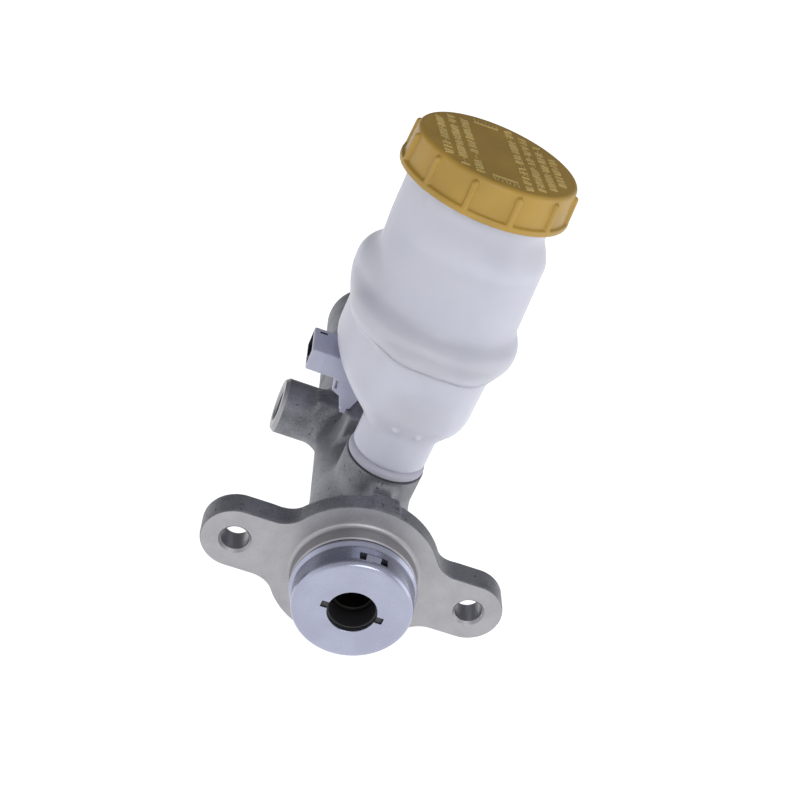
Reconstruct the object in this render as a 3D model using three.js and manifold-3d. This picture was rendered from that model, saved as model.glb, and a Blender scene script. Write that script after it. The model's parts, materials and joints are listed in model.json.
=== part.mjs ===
// Tandem brake master cylinder with its fluid reservoir, in millimetres.
// Origin: centre of the flange's mounting face, on the bore axis. +Y runs forward along the bore,
// +Z runs up to the reservoir, +X points to the side away from the rear outlet port.
import * as THREE from 'three';
import { mergeVertices } from 'three/addons/utils/BufferGeometryUtils.js';
import Module from 'manifold-3d';

const wasm = await Module();
wasm.setup();

// ---- driving dimensions -------------------------------------------------------------------
const GAP = 0.3;

const flange = { thick: 10, discR: 29, earX: 42, earR: 11.8, earBlendR: 10, holeR: 4.6, holeChamfer: 0.9 };
const pilot = { padR: 21.2, padY: -6.3, filletR: 1.6, spigotR: 18.3, spigotY: -9 };
const barrel = { r: 17.3, boreR: 12.7, boreEndY: 172, endY: 188, noseR: 14, stepY: 118, stepR: 18.1 };
const inlet = {
  rearY: 33.4, frontY: 112, bossR: 14.3, topZ: 27.6, wellR: 10.4, wellFloorZ: 15.5, feedR: 2.4,
};
const frontFeed = { x: -5.2, y: 116.5 };
const rearPort = { y: 89.2, r: 10.9, faceX: -34.4, threadR: 5, drillR: 2 };
const frontPort = { y: 158, r: 10.9, faceX: 34.4, threadR: 5, drillR: 2 };
const portSeat = { r: 4.6, coneR: 2.8, length: 6, depth: 17 };
const lug = {
  y: 64.75, length: 13.5, outX: -13.2, inX: -4, topZ: 24.2, pinY: 67.5, pinZ: 21.5, holeR: 1.7, pinR: 1.5,
};

const stopper = {
  r: 20.3, wall: 1.5, backY: -18.4, frontY: -7.4, lipR: 21.6, edgeR: 2.4, holeR: 8.2, notchR: 10.7,
  notchW: 2.6,
};
const guide = { r: 18.4, backY: -16.6, frontY: -9.3, throatR: 7.2, tabR: 10.4, tabW: 2.2 };

const secondaryStroke = 13;
const piston = { r: 12.5, waistR: 8, grooveR: 9 };
const primary = {
  backY: -8.7, landY: -1.5, grooveEndY: 4.5, landTwoY: 7, frontLandY: 38, headY: 43, endY: 52, noseR: 7,
  socketR: 6.2, socketY: 22,
};
const secondary = {
  backY: 93.6, landY: 95.3, grooveEndY: 101.1, landTwoY: 102.6, frontLandY: 121, headY: 125,
  endY: 133, noseR: 7,
  socketR: 5.6, socketY: 103.5,
};
const cup = { lipR: 12.55, width: 5.2 };
const cage = {
  shaftR: 2, headR: 4.4, footLength: 1.5, headY: 82, headLength: 3, tubeR: 6.6, tubeBoreR: 5.2, tubeY: 79,
  floorThick: 1.6, flangeR: 11, flangeThick: 1.4,
};
const spring = { wireR: 1.1, primaryR: 9.4, secondaryR: 9.6, turns: 6.5, stepsPerTurn: 12, sides: 5 };
const stopPin = { y: 119, r: 1.7, bottomZ: 4.6, topZ: 17.2, headR: 2.8, clearance: 0.5 };

const wall = 2.2;
const neck = { r: 13.4, topZ: 56, grooveR: 12.4, nozzleR: 7.4, nozzleBoreR: 5.2, nozzleEndZ: 18 };
const grommet = { r: 13.9, topZ: 31.2, bodyR: 10.1, floorZ: 17.6 };
const bowl = {
  floorZ: 44, seamZ: 70.8, roofZ: 75, edgeR: 9, roofEdgeR: 3, rearY: 19.6, rearHalf: 13, frontY: 128,
  frontHalf: 15,
};
const bowlSide = { hipX: 20.5, hipY: 33, wideY: 72, rightX: 24, leftX: -28, taperY: 108 };
const baffle = { y: 88, thick: 2, topZ: 60 };
const rim = { x: -0.5, y: 51, r: 31, lowZ: 71.5, highZ: 79, edgeR: 2.6 };
const lobe = { x: -9.5, y: 62, r: 23.5, sideZ: 82, crownR: 10 };
const tower = {
  x: -0.9, lowY: 51, highY: 58, lowR: 28.8, r: 27.8, lowZ: 75, shoulderZ: 104, neckR: 25.2,
  neckZ: 112, rimZ: 129.3,
};
const mouth = { x: -3.3, y: 58, boreR: 23 };
const cap = {
  r: 30, topR: 27.7, topZ: 137, lowZ: 124.5, wall: 2.2, ribs: 12, ribW: 2.6, ribH: 1,
  ribDeg0: 12,
};
const capSeal = { outR: 25.2, inR: 21.8, thick: 1.6 };
const diaphragm = { flangeR: 25.2, r: 19.2, wall: 1.4, depth: 13, thick: 1.6 };
const strainer = { r: 22.3, wall: 1.4, depth: 26, windows: 8, windowW: 8, windowH: 11, drainR: 7 };

const floatRing = { r: 11.5, boreR: 5.4, thick: 9, restZ: 47.5 };
const reedTube = { r: 4.6, boreR: 2.6, topZ: 72, x: -9, y: 69.5 };
const sensor = {
  mouthX: -34.2, rootX: 3, yNear: 61, yFar: 78, bottomZ: 35, topZ: 43.6, wall: 1.8,
  socketDepth: 12,
};
const leg = {
  leftX: -23, hookX: -22, hookZ: 30, neckX: -18.7, neckZ: 28.5, footLeftX: -17.2, footRightX: -13.3,
  footZ: 24.5, rightX: -11.6, rightZ: 29.5, nearY: 61.5, thick: 2.2, cheekLeftX: -16, cheekRightX: -14,
  cheekEndY: 69.5, cheekLowZ: 21.5, notchR: 1.8, pinEndX: -16.2,
};
const terminal = { width: 2.2, thick: 0.8, lowZ: 39, length: 12, embedded: 5, pitch: 6, slitGap: 0.4 };

const ROUND = 32;
const SMALL = 20;

// ---- materials ----------------------------------------------------------------------------
const finish = (color, roughness, metalness) => () => (
  new THREE.MeshStandardMaterial({ color, roughness, metalness }));
const castAluminium = finish(0x74767a, 0.6, 0.85);
const platedSteel = finish(0xaab0c4, 0.32, 0.9);
const springSteel = finish(0x8a8c90, 0.35, 0.9);
const blackRubber = finish(0x1c1c1e, 0.75, 0);
const greyRubber = finish(0xb9b6c2, 0.7, 0);
const milkyPlastic = finish(0xcdd2e2, 0.42, 0);
const lilacPlastic = finish(0xaeb0c0, 0.5, 0);
const ochrePlastic = finish(0xb08a3c, 0.45, 0);
const anodised = finish(0xa8a08a, 0.4, 0.8);
const brass = finish(0xb8964f, 0.35, 0.9);
const foam = finish(0x3a3a3c, 0.8, 0);
const magnet = finish(0x4a4a4e, 0.5, 0.6);

// ---- solids and booleans ------------------------------------------------------------------
function toSolid(geometry) {
  const bare = geometry.clone();
  bare.deleteAttribute('normal');
  bare.deleteAttribute('uv');
  const merged = mergeVertices(bare, 1e-4);
  const triVerts = new Uint32Array(merged.index.array);
  const vertProperties = new Float32Array(merged.attributes.position.array);
  return new wasm.Manifold(new wasm.Mesh({ numProp: 3, vertProperties, triVerts }));
}

function toGeometry(solid) {
  const { vertProperties, triVerts } = solid.getMesh();
  const geometry = new THREE.BufferGeometry();
  geometry.setAttribute('position', new THREE.BufferAttribute(vertProperties, 3));
  geometry.setIndex(new THREE.BufferAttribute(triVerts, 1));
  geometry.computeVertexNormals();
  return geometry;
}

const join = (...solids) => solids.reduce((whole, next) => whole.add(next));
const cut = (whole, ...tools) => tools.reduce((left, tool) => left.subtract(tool), whole);

// A profile is a list of [radius, height]; it is closed, and turned so that its faces point out.
function lathe(profile, segments = ROUND) {
  const closed = [...profile, profile[0]];
  let area = 0;
  for (let i = 0; i < profile.length; i += 1) {
    area += closed[i][0] * closed[i + 1][1] - closed[i + 1][0] * closed[i][1];
  }
  const ordered = area > 0 ? closed : closed.reverse();
  return new THREE.LatheGeometry(ordered.map(([r, h]) => new THREE.Vector2(r, h)), segments);
}

const latheY = (profile, x = 0, z = 0, segments = ROUND) => (
  toSolid(lathe(profile, segments).translate(x, 0, z)));
const latheZ = (profile, x, y, segments = ROUND) => (
  toSolid(lathe(profile, segments).rotateX(Math.PI / 2).translate(x, y, 0)));
const latheX = (profile, y, z, segments = SMALL) => (
  toSolid(lathe(profile, segments).rotateZ(-Math.PI / 2).translate(0, y, z)));

const rod = (r, from, to) => [[0, from], [r, from], [r, to], [0, to]];
const tube = (inner, outer, from, to) => [[inner, from], [outer, from], [outer, to], [inner, to]];

function box(x0, x1, y0, y1, z0, z1) {
  const geometry = new THREE.BoxGeometry(x1 - x0, y1 - y0, z1 - z0);
  return toSolid(geometry.translate((x0 + x1) / 2, (y0 + y1) / 2, (z0 + z1) / 2));
}

// Points of an arc in a profile or an outline, from one angle to another in degrees.
function arc(cx, cy, r, fromDeg, toDeg, steps) {
  return Array.from({ length: steps + 1 }, (_, i) => {
    const angle = THREE.MathUtils.degToRad(fromDeg + (toDeg - fromDeg) * i / steps);
    return [cx + r * Math.cos(angle), cy + r * Math.sin(angle)];
  });
}

// A flat outline in X and Z, pushed along +Y from y0 to y1.
function plateY(outline, y0, y1) {
  const geometry = new THREE.ExtrudeGeometry(outline, { depth: y1 - y0, bevelEnabled: false });
  return toSolid(geometry.rotateX(Math.PI / 2).translate(0, y1, 0));
}

const group = new THREE.Group();

function add(name, solid, material) {
  const mesh = new THREE.Mesh(toGeometry(solid), material());
  mesh.name = name;
  group.add(mesh);
}

// ---- cylinder body ------------------------------------------------------------------------
// The ears run into the centre disc through hollow blends, the same on all four corners.
function flangeOutline() {
  const blendY = flange.earR + flange.earBlendR;
  const blendX = Math.sqrt((flange.discR + flange.earBlendR) ** 2 - blendY ** 2);
  const touch = THREE.MathUtils.radToDeg(Math.atan2(blendY, blendX));
  const points = [
    ...arc(flange.earX, 0, flange.earR, -90, 90, 14),
    ...arc(blendX, blendY, flange.earBlendR, -90, touch - 180, 6),
    ...arc(0, 0, flange.discR, touch, 180 - touch, 12),
    ...arc(-blendX, blendY, flange.earBlendR, -touch, -90, 6),
    ...arc(-flange.earX, 0, flange.earR, 90, 270, 14),
    ...arc(-blendX, -blendY, flange.earBlendR, 90, touch, 6),
    ...arc(0, 0, flange.discR, 180 + touch, 360 - touch, 12),
    ...arc(blendX, -blendY, flange.earBlendR, 180 - touch, 90, 6),
  ];
  return new THREE.Shape(points.map(([x, z]) => new THREE.Vector2(x, z)));
}

function flangePlate() {
  const plate = plateY(flangeOutline(), 0, flange.thick);
  const holes = [-1, 1].map((side) => latheY([
    [0, -1], [flange.holeR + flange.holeChamfer + 1, -1], [flange.holeR, flange.holeChamfer],
    [flange.holeR, flange.thick + 1], [0, flange.thick + 1],
  ], side * flange.earX, 0, SMALL));
  return cut(plate, ...holes);
}

function barrelCasting() {
  const padFillet = arc(pilot.padR + pilot.filletR, -pilot.filletR, pilot.filletR, 180, 90, 5);
  const nose = arc(barrel.r - barrel.noseR, barrel.endY - barrel.noseR, barrel.noseR, 0, 90, 8);
  return latheY([
    [0, pilot.spigotY], [pilot.spigotR, pilot.spigotY], [pilot.spigotR, pilot.padY],
    [pilot.padR, pilot.padY],
    ...padFillet, [pilot.padR + pilot.filletR, flange.thick - 2], [barrel.r, flange.thick + 6],
    [barrel.r, barrel.stepY - 3], [barrel.stepR, barrel.stepY], [barrel.stepR, barrel.stepY + 30],
    [barrel.r, barrel.stepY + 34], ...nose, [0, barrel.endY],
  ]);
}

function portBoss(port) {
  const out = Math.sign(port.faceX);
  const face = Math.abs(port.faceX);
  const profile = [[0, 0], [port.r, 0], [port.r, face - 1], [port.r - 1, face], [0, face]];
  return latheX(profile.map(([r, h]) => [r, h * out]), port.y, 0);
}

function portHole(port) {
  const out = Math.sign(port.faceX);
  const face = Math.abs(port.faceX);
  const seatX = face - portSeat.depth;
  const profile = [
    [0, 0], [port.drillR, 0], [port.drillR, seatX - 3], [port.threadR, seatX],
    [port.threadR, face - 1.2], [port.threadR + 1.4, face + 0.2], [0, face + 0.2],
  ];
  return latheX(profile.map(([r, h]) => [r, h * out]), port.y, 0);
}

function cylinderBody() {
  const bosses = [inlet.rearY, inlet.frontY].map((y) => latheZ(rod(inlet.bossR, 0, inlet.topZ), 0, y));
  const wells = [inlet.rearY, inlet.frontY].map((y) => (
    latheZ(rod(inlet.wellR, inlet.wellFloorZ, inlet.topZ + 1), 0, y)));
  const feed = rod(inlet.feedR, 0, inlet.wellFloorZ + 1);
  const feeds = [latheZ(feed, 0, inlet.rearY, SMALL), latheZ(feed, frontFeed.x, frontFeed.y, SMALL)];
  const lugBlock = box(lug.outX, lug.inX, lug.y - lug.length / 2, lug.y + lug.length / 2, 6, lug.topZ);
  const lugHole = latheX(rod(lug.holeR, lug.outX - 1, lug.inX + 1), lug.pinY, lug.pinZ);
  const pinHole = latheZ(rod(stopPin.r + 0.1, 0, inlet.wellFloorZ + 1), 0, stopPin.y, SMALL);
  const bore = latheY(rod(barrel.boreR, pilot.spigotY - 1, barrel.boreEndY));
  const casting = join(
    flangePlate(), barrelCasting(), portBoss(rearPort), portBoss(frontPort), ...bosses, lugBlock,
  );
  return cut(casting, bore, ...wells, ...feeds, pinHole, lugHole, portHole(rearPort), portHole(frontPort));
}

// ---- parts pressed or screwed into the casting --------------------------------------------
function stopperCap() {
  const innerR = stopper.r - stopper.wall;
  const floorY = stopper.backY + stopper.wall;
  const edge = arc(stopper.r - stopper.edgeR, stopper.backY + stopper.edgeR, stopper.edgeR, 270, 360, 5);
  const shell = latheY([
    [stopper.holeR, stopper.backY], ...edge, [stopper.r, stopper.frontY - 2.4],
    [stopper.lipR, stopper.frontY],
    [stopper.lipR - stopper.wall, stopper.frontY + 0.6], [innerR, stopper.frontY - 1.6],
    [innerR, floorY], [stopper.holeR, floorY],
  ]);
  const halfNotch = stopper.notchW / 2;
  const notch = box(-stopper.notchR, stopper.notchR, stopper.backY - 1, floorY + 1, -halfNotch, halfNotch);
  return cut(shell, notch);
}

function guideRing() {
  const ring = latheY([
    [guide.throatR, guide.frontY], [guide.throatR, guide.frontY - 2.4], [stopper.holeR - 0.4, guide.backY],
    [guide.r, guide.backY], [guide.r, guide.frontY],
  ]);
  const tabs = [-1, 1].map((side) => {
    const inner = side * (stopper.holeR + 0.1);
    const outer = side * guide.tabR;
    return box(Math.min(inner, outer), Math.max(inner, outer), stopper.backY + 0.4, guide.backY + 0.5,
      -guide.tabW / 2, guide.tabW / 2);
  });
  return join(ring, ...tabs);
}

function inletGrommet(y) {
  return latheZ([
    [neck.nozzleR + 0.15, grommet.floorZ], [grommet.bodyR, grommet.floorZ],
    [grommet.bodyR, inlet.topZ + GAP],
    [grommet.r, inlet.topZ + GAP], [grommet.r, grommet.topZ - 0.8], [grommet.r - 0.8, grommet.topZ],
    [neck.nozzleR + 0.15, grommet.topZ],
  ], 0, y);
}

function flareSeat(port) {
  const out = Math.sign(port.faceX);
  const start = Math.abs(port.faceX) - portSeat.depth + GAP;
  const profile = [
    [1.3, start], [portSeat.r, start], [portSeat.r, start + 3], [portSeat.coneR, start + portSeat.length],
    [1.3, start + portSeat.length],
  ];
  return latheX(profile.map(([r, h]) => [r, h * out]), port.y, 0);
}

function pistonStopPin() {
  return latheZ([
    [0, stopPin.bottomZ], [stopPin.r, stopPin.bottomZ], [stopPin.r, inlet.wellFloorZ + 0.1],
    [stopPin.headR, inlet.wellFloorZ + 0.1], [stopPin.headR, stopPin.topZ], [0, stopPin.topZ],
  ], 0, stopPin.y, SMALL);
}

// ---- pistons, cups and springs -------------------------------------------------------------
function primaryPiston() {
  return latheY([
    [0, primary.socketY], [primary.socketR, primary.socketY - 4], [primary.socketR, primary.backY],
    [piston.r - 0.6, primary.backY], [piston.r, primary.backY + 0.6], [piston.r, primary.landY],
    [piston.grooveR, primary.landY], [piston.grooveR, primary.grooveEndY], [piston.r, primary.grooveEndY],
    [piston.r, primary.landTwoY], [piston.waistR, primary.landTwoY + 3],
    [piston.waistR, primary.frontLandY - 3],
    [piston.r, primary.frontLandY], [piston.r, primary.headY], [primary.noseR, primary.headY],
    [primary.noseR, primary.endY], [0, primary.endY],
  ]);
}

function secondaryPiston() {
  const body = latheY([
    [0, secondary.socketY], [secondary.socketR, secondary.socketY - 2],
    [secondary.socketR, secondary.backY],
    [piston.r, secondary.backY], [piston.r, secondary.landY], [piston.grooveR, secondary.landY],
    [piston.grooveR, secondary.grooveEndY], [piston.r, secondary.grooveEndY],
    [piston.r, secondary.landTwoY],
    [piston.waistR, secondary.landTwoY], [piston.waistR, secondary.frontLandY],
    [piston.r, secondary.frontLandY],
    [piston.r, secondary.headY], [secondary.noseR, secondary.headY], [secondary.noseR, secondary.endY],
    [0, secondary.endY],
  ]);
  const halfSlot = stopPin.r + stopPin.clearance;
  const slotBackY = stopPin.y - secondaryStroke - halfSlot;
  const slot = box(-halfSlot, halfSlot, slotBackY, stopPin.y + halfSlot,
    stopPin.bottomZ - 1.6, piston.r + 1);
  return cut(body, slot);
}

// A lip cup seals towards +Y: its heel fills the seat and its two lips open forward.
function lipCup(seatR, y) {
  const width = cup.width;
  return latheY([
    [seatR + 0.1, y], [cup.lipR - 0.5, y], [cup.lipR - 0.5, y + 1.6], [cup.lipR, y + width],
    [cup.lipR - 1.3, y + width], [(seatR + cup.lipR) / 2, y + 1.9], [seatR + 1.2, y + width],
    [seatR + 0.1, y + width],
  ]);
}

function cageScrew() {
  const shaftStart = primary.endY + cage.footLength;
  return latheY([
    [0, primary.endY + 0.1], [cage.headR, primary.endY + 0.1], [cage.headR, shaftStart],
    [cage.shaftR, shaftStart], [cage.shaftR, cage.headY], [cage.headR, cage.headY],
    [cage.headR, cage.headY + cage.headLength - 0.8], [cage.headR - 0.8, cage.headY + cage.headLength],
    [0, cage.headY + cage.headLength],
  ], 0, 0, SMALL);
}

function cageTube() {
  const flangeY = secondary.backY - GAP - cage.flangeThick;
  return latheY([
    [cage.shaftR + 0.5, cage.tubeY], [cage.tubeR, cage.tubeY], [cage.tubeR, flangeY],
    [cage.flangeR, flangeY],
    [cage.flangeR, flangeY + cage.flangeThick], [cage.tubeBoreR, flangeY + cage.flangeThick],
    [cage.tubeBoreR, cage.tubeY + cage.floorThick], [cage.shaftR + 0.5, cage.tubeY + cage.floorThick],
  ], 0, 0, SMALL);
}

class Helix extends THREE.Curve {
  constructor(radius, from, to, turns) {
    super();
    Object.assign(this, { radius, from, to, turns });
  }

  getPoint(t, target = new THREE.Vector3()) {
    const angle = t * this.turns * Math.PI * 2;
    const y = THREE.MathUtils.lerp(this.from, this.to, t);
    return target.set(this.radius * Math.cos(angle), y, this.radius * Math.sin(angle));
  }
}

function coilSpring(radius, from, to) {
  const path = new Helix(radius, from + spring.wireR, to - spring.wireR, spring.turns);
  const wire = new THREE.Shape(arc(0, 0, spring.wireR, 0, 360 - 360 / spring.sides, spring.sides - 1)
    .map(([x, y]) => new THREE.Vector2(x, y)));
  const steps = Math.round(spring.turns * spring.stepsPerTurn);
  return toSolid(new THREE.ExtrudeGeometry(wire, { steps, bevelEnabled: false, extrudePath: path }));
}

// ---- reservoir ----------------------------------------------------------------------------
// Plan of the bowl: a smooth closed line round the two necks, drawn in by the inset.
function bowlPlan(inset) {
  const side = (x) => [
    [x.hip, bowlSide.hipY], [x.wide, bowlSide.wideY], [x.taper, bowlSide.taperY],
    [x.taper * 0.7, bowl.frontY - inset - 5],
  ];
  const hip = bowlSide.hipX - inset;
  const taper = bowl.frontHalf + 1 - inset;
  const right = side({ hip, wide: bowlSide.rightX - inset, taper });
  const left = side({ hip: -hip, wide: bowlSide.leftX + inset, taper: -taper });
  const rearCorner = [bowl.rearHalf - inset * 0.6, bowl.rearY + 2.2 + inset];
  const points = [
    [0, bowl.rearY + inset], rearCorner, ...right, [0, bowl.frontY - inset],
    ...left.reverse(), [-rearCorner[0], rearCorner[1]],
  ];
  const line = new THREE.CatmullRomCurve3(points.map(([x, y]) => new THREE.Vector3(x, y, 0)), true);
  return line.getSpacedPoints(44).slice(0, -1).map((point) => new THREE.Vector2(point.x, point.y));
}

// The plan pushed up from low to high, with the same quarter-round edge at both ends.
function bowlSolid(inset, low, high, edge) {
  const outline = new THREE.Shape(bowlPlan(inset + edge));
  const geometry = new THREE.ExtrudeGeometry(outline, {
    depth: high - low - 2 * edge, bevelEnabled: true, bevelSize: edge, bevelThickness: edge,
    bevelSegments: 3,
  });
  return toSolid(geometry.translate(0, 0, low + edge));
}

const slab = (low, high) => box(-60, 60, -10, 160, low, high);

function reservoirLower() {
  const outer = bowlSolid(0, bowl.floorZ, bowl.seamZ + 20, bowl.edgeR).intersect(slab(0, bowl.seamZ));
  const hollow = bowlSolid(wall, bowl.floorZ + wall, bowl.seamZ + 20, bowl.edgeR - wall);
  const neckProfile = [
    [0, neck.nozzleEndZ], [neck.nozzleR, neck.nozzleEndZ], [neck.nozzleR, grommet.topZ + GAP],
    [neck.grooveR, grommet.topZ + GAP], [neck.grooveR, grommet.topZ + 1.6], [neck.r, grommet.topZ + 1.9],
    [neck.r, neck.topZ], [0, neck.topZ],
  ];
  const necks = [inlet.rearY, inlet.frontY].map((y) => latheZ(neckProfile, 0, y));
  const ducts = [inlet.rearY, inlet.frontY].map((y) => (
    latheZ(rod(neck.nozzleBoreR, neck.nozzleEndZ - 1, bowl.floorZ + 6), 0, y, SMALL)));
  const wells = [inlet.rearY, inlet.frontY].map((y) => (
    latheZ(rod(neck.r - wall, bowl.floorZ, neck.topZ + 1), 0, y, SMALL)));
  const shell = cut(join(outer, ...necks), hollow, ...ducts, ...wells);
  const wallPlate = box(-40, 40, baffle.y, baffle.y + baffle.thick, bowl.floorZ + 1, baffle.topZ)
    .intersect(bowlSolid(wall / 2, bowl.floorZ + 1, bowl.seamZ + 20, bowl.edgeR - 1));
  const reedPost = latheZ(rod(reedTube.r, bowl.floorZ + 0.5, reedTube.topZ), reedTube.x, reedTube.y, SMALL);
  const reedHole = rod(reedTube.boreR, bowl.floorZ - 1, reedTube.topZ - 2);
  const reedBore = latheZ(reedHole, reedTube.x, reedTube.y, SMALL);
  return cut(join(shell, wallPlate, reedPost), reedBore);
}

// The overhanging rim where the bowl's roof meets the tower.
function rimProfile(inset) {
  const r = rim.r - inset;
  const low = rim.lowZ + inset;
  const high = rim.highZ - inset;
  return [
    [0, low], [r - rim.edgeR, low], [r, low + rim.edgeR], [r, high - rim.edgeR],
    [r - rim.edgeR, high], [0, high],
  ];
}

const lobeProfile = (inset) => [
  [0, rim.lowZ + 1 + inset], [lobe.r - inset, rim.lowZ + 1 + inset], [lobe.r - inset, lobe.sideZ],
  ...arc(lobe.r - lobe.crownR, lobe.sideZ, lobe.crownR - inset, 15, 90, 4),
  [0, lobe.sideZ + lobe.crownR - inset],
];

// The tower leans forward as it rises, because its foot is set back over the rear inlet.
function towerSolid(inset) {
  const r = tower.r - inset;
  const neckR = tower.neckR - inset;
  const profile = [
    [0, tower.lowZ + inset], [tower.lowR - inset, tower.lowZ + inset], [r, tower.shoulderZ - inset],
    [r - 0.8, tower.shoulderZ + 3 - inset], [neckR + 0.6, tower.neckZ - 2 - inset],
    [neckR, tower.neckZ - inset],
    [0, tower.neckZ - inset],
  ];
  const lean = (tower.highY - tower.lowY) / (tower.shoulderZ - tower.lowZ);
  const shear = new THREE.Matrix4().makeShear(0, 0, 0, 0, 0, lean);
  const geometry = lathe(profile).rotateX(Math.PI / 2).applyMatrix4(shear);
  return toSolid(geometry.translate(tower.x, tower.lowY - lean * tower.lowZ, 0));
}

function reservoirUpper() {
  const skirtLow = bowl.seamZ + GAP;
  const roofed = bowlSolid(0, bowl.seamZ - 20, bowl.roofZ, bowl.roofEdgeR);
  const skirt = roofed.intersect(slab(skirtLow, bowl.roofZ));
  const seam = bowlSolid(-1.2, skirtLow - 3, skirtLow + 4.4, 0.4).intersect(slab(skirtLow, skirtLow + 1.6));
  const outer = join(
    skirt, seam, towerSolid(0),
    latheZ(rimProfile(0), rim.x, rim.y),
    latheZ(lobeProfile(0), lobe.x, lobe.y),
    latheZ(rod(tower.neckR, tower.neckZ - 8, tower.rimZ), mouth.x, mouth.y),
  );
  const floorHole = latheZ(rod(rim.r - wall - rim.edgeR, bowl.seamZ, rim.highZ - wall), rim.x, rim.y);
  const hollow = join(
    bowlSolid(wall, bowl.seamZ - 20, bowl.roofZ - wall, 1),
    floorHole.intersect(bowlSolid(wall, bowl.seamZ - 20, rim.highZ, 1)),
    latheZ(rimProfile(wall), rim.x, rim.y),
    latheZ(lobeProfile(wall), lobe.x, lobe.y),
    towerSolid(wall),
    latheZ(rod(mouth.boreR, tower.neckZ - 10, tower.rimZ + 1), mouth.x, mouth.y),
  );
  return cut(outer, hollow);
}

// ---- filler cap and what it holds ------------------------------------------------------------
function fillerCap() {
  const roof = cap.topZ - cap.wall;
  const innerR = cap.r - cap.wall - 0.4;
  const shell = latheZ([
    [0, cap.topZ], [cap.topR - 1.6, cap.topZ], [cap.topR, cap.topZ - 1.4], [cap.r - 1, cap.lowZ + 2],
    [cap.r, cap.lowZ + 1], [cap.r, cap.lowZ - 1.2], [innerR, cap.lowZ - 1.2],
    [innerR - 1.4, roof], [0, roof],
  ], mouth.x, mouth.y);
  const ribLength = cap.topZ - 3 - cap.lowZ;
  const ribs = Array.from({ length: cap.ribs }, (_, i) => {
    const rib = new THREE.BoxGeometry(cap.ribH * 2, cap.ribW, ribLength);
    rib.translate(cap.r - 1.2, 0, cap.lowZ + ribLength / 2);
    rib.rotateZ(THREE.MathUtils.degToRad(cap.ribDeg0 + i * 360 / cap.ribs));
    return toSolid(rib.translate(mouth.x, mouth.y, 0));
  });
  return join(shell, ...ribs);
}

function capSealRing() {
  const low = tower.rimZ + 0.1;
  return latheZ(tube(capSeal.inR, capSeal.outR, low, low + capSeal.thick), mouth.x, mouth.y);
}

function capDiaphragm() {
  const low = tower.rimZ + 0.1 + capSeal.thick + 0.1;
  const top = low + diaphragm.thick;
  const inner = diaphragm.r - diaphragm.wall;
  return latheZ([
    [0, low - diaphragm.depth], [inner - 3, low - diaphragm.depth],
    [diaphragm.r, low - diaphragm.depth + 5],
    [diaphragm.r, low], [diaphragm.flangeR, low], [diaphragm.flangeR, top], [inner, top],
    [inner, low - diaphragm.depth + 6], [inner - 3.4, low - diaphragm.depth + 1.6],
    [0, low - diaphragm.depth + 1.6],
  ], mouth.x, mouth.y);
}

// ---- level switch -----------------------------------------------------------------------------
// Corners of one terminal's flat blade: its tip is in the socket and its root in the housing.
function terminalBlade(side) {
  const centreY = (sensor.yNear + sensor.yFar) / 2 + (side - 0.5) * terminal.pitch;
  const endX = sensor.mouthX + sensor.socketDepth + terminal.embedded;
  return {
    low: new THREE.Vector3(endX - terminal.length, centreY - terminal.width / 2, terminal.lowZ),
    high: new THREE.Vector3(endX, centreY + terminal.width / 2, terminal.lowZ + terminal.thick),
  };
}

function levelSwitchHousing() {
  const { mouthX, rootX, yNear, yFar, bottomZ, topZ } = sensor;
  const body = box(mouthX, rootX, yNear, yFar, bottomZ, topZ);
  const socket = box(mouthX - 1, mouthX + sensor.socketDepth, yNear + sensor.wall, yFar - sensor.wall,
    bottomZ + sensor.wall, topZ - sensor.wall);
  const reedWell = latheZ(rod(reedTube.boreR, bottomZ + 2, topZ + 1), reedTube.x, reedTube.y, SMALL);
  const tongue = new THREE.Shape([
    [leg.leftX, bottomZ + 0.5], [leg.hookX, leg.hookZ], [leg.neckX, leg.neckZ], [leg.footLeftX, leg.footZ],
    [leg.footRightX, leg.footZ], [leg.rightX, leg.rightZ], [leg.rightX, bottomZ + 0.5],
  ].map(([x, z]) => new THREE.Vector2(x, z)));
  const plate = plateY(tongue, leg.nearY, leg.nearY + leg.thick);
  const cheek = box(leg.cheekLeftX, leg.cheekRightX, leg.nearY + 1, leg.cheekEndY,
    leg.cheekLowZ, bottomZ + 1);
  const notch = latheX(rod(leg.notchR, leg.cheekLeftX - 1, leg.cheekRightX + 1), lug.pinY, lug.pinZ);
  const slits = [0, 1].map((side) => {
    const { low, high } = terminalBlade(side);
    low.subScalar(terminal.slitGap);
    high.addScalar(terminal.slitGap);
    return box(mouthX + sensor.socketDepth - 1, high.x, low.y, high.y, low.z, high.z);
  });
  return cut(join(body, plate, cheek), socket, reedWell, notch, ...slits);
}

function switchTerminal(side) {
  const { low, high } = terminalBlade(side);
  return box(low.x, high.x, low.y, high.y, low.z, high.z);
}

const reservoirPin = () => latheX(rod(lug.pinR, leg.pinEndX, lug.inX - 1), lug.pinY, lug.pinZ);

function floatSolid() {
  const { r, boreR, thick, restZ } = floatRing;
  return latheZ([
    [boreR + 2.4, restZ], [r - 1, restZ], [r, restZ + 1], [r, restZ + thick - 1], [r - 1, restZ + thick],
    [boreR, restZ + thick], [boreR, restZ + 3.2], [boreR + 2.4, restZ + 3.2],
  ], reedTube.x, reedTube.y, SMALL);
}

function floatMagnet() {
  const ring = tube(floatRing.boreR, floatRing.boreR + 2.2, floatRing.restZ + 0.2, floatRing.restZ + 3);
  return latheZ(ring, reedTube.x, reedTube.y, SMALL);
}

const reedSwitch = () => latheZ([
  [0, sensor.bottomZ + 2.4], [2.2, sensor.bottomZ + 2.4], [2.2, reedTube.topZ - 6],
  [1.2, reedTube.topZ - 4],
  [0, reedTube.topZ - 4],
], reedTube.x, reedTube.y, 16);

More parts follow.
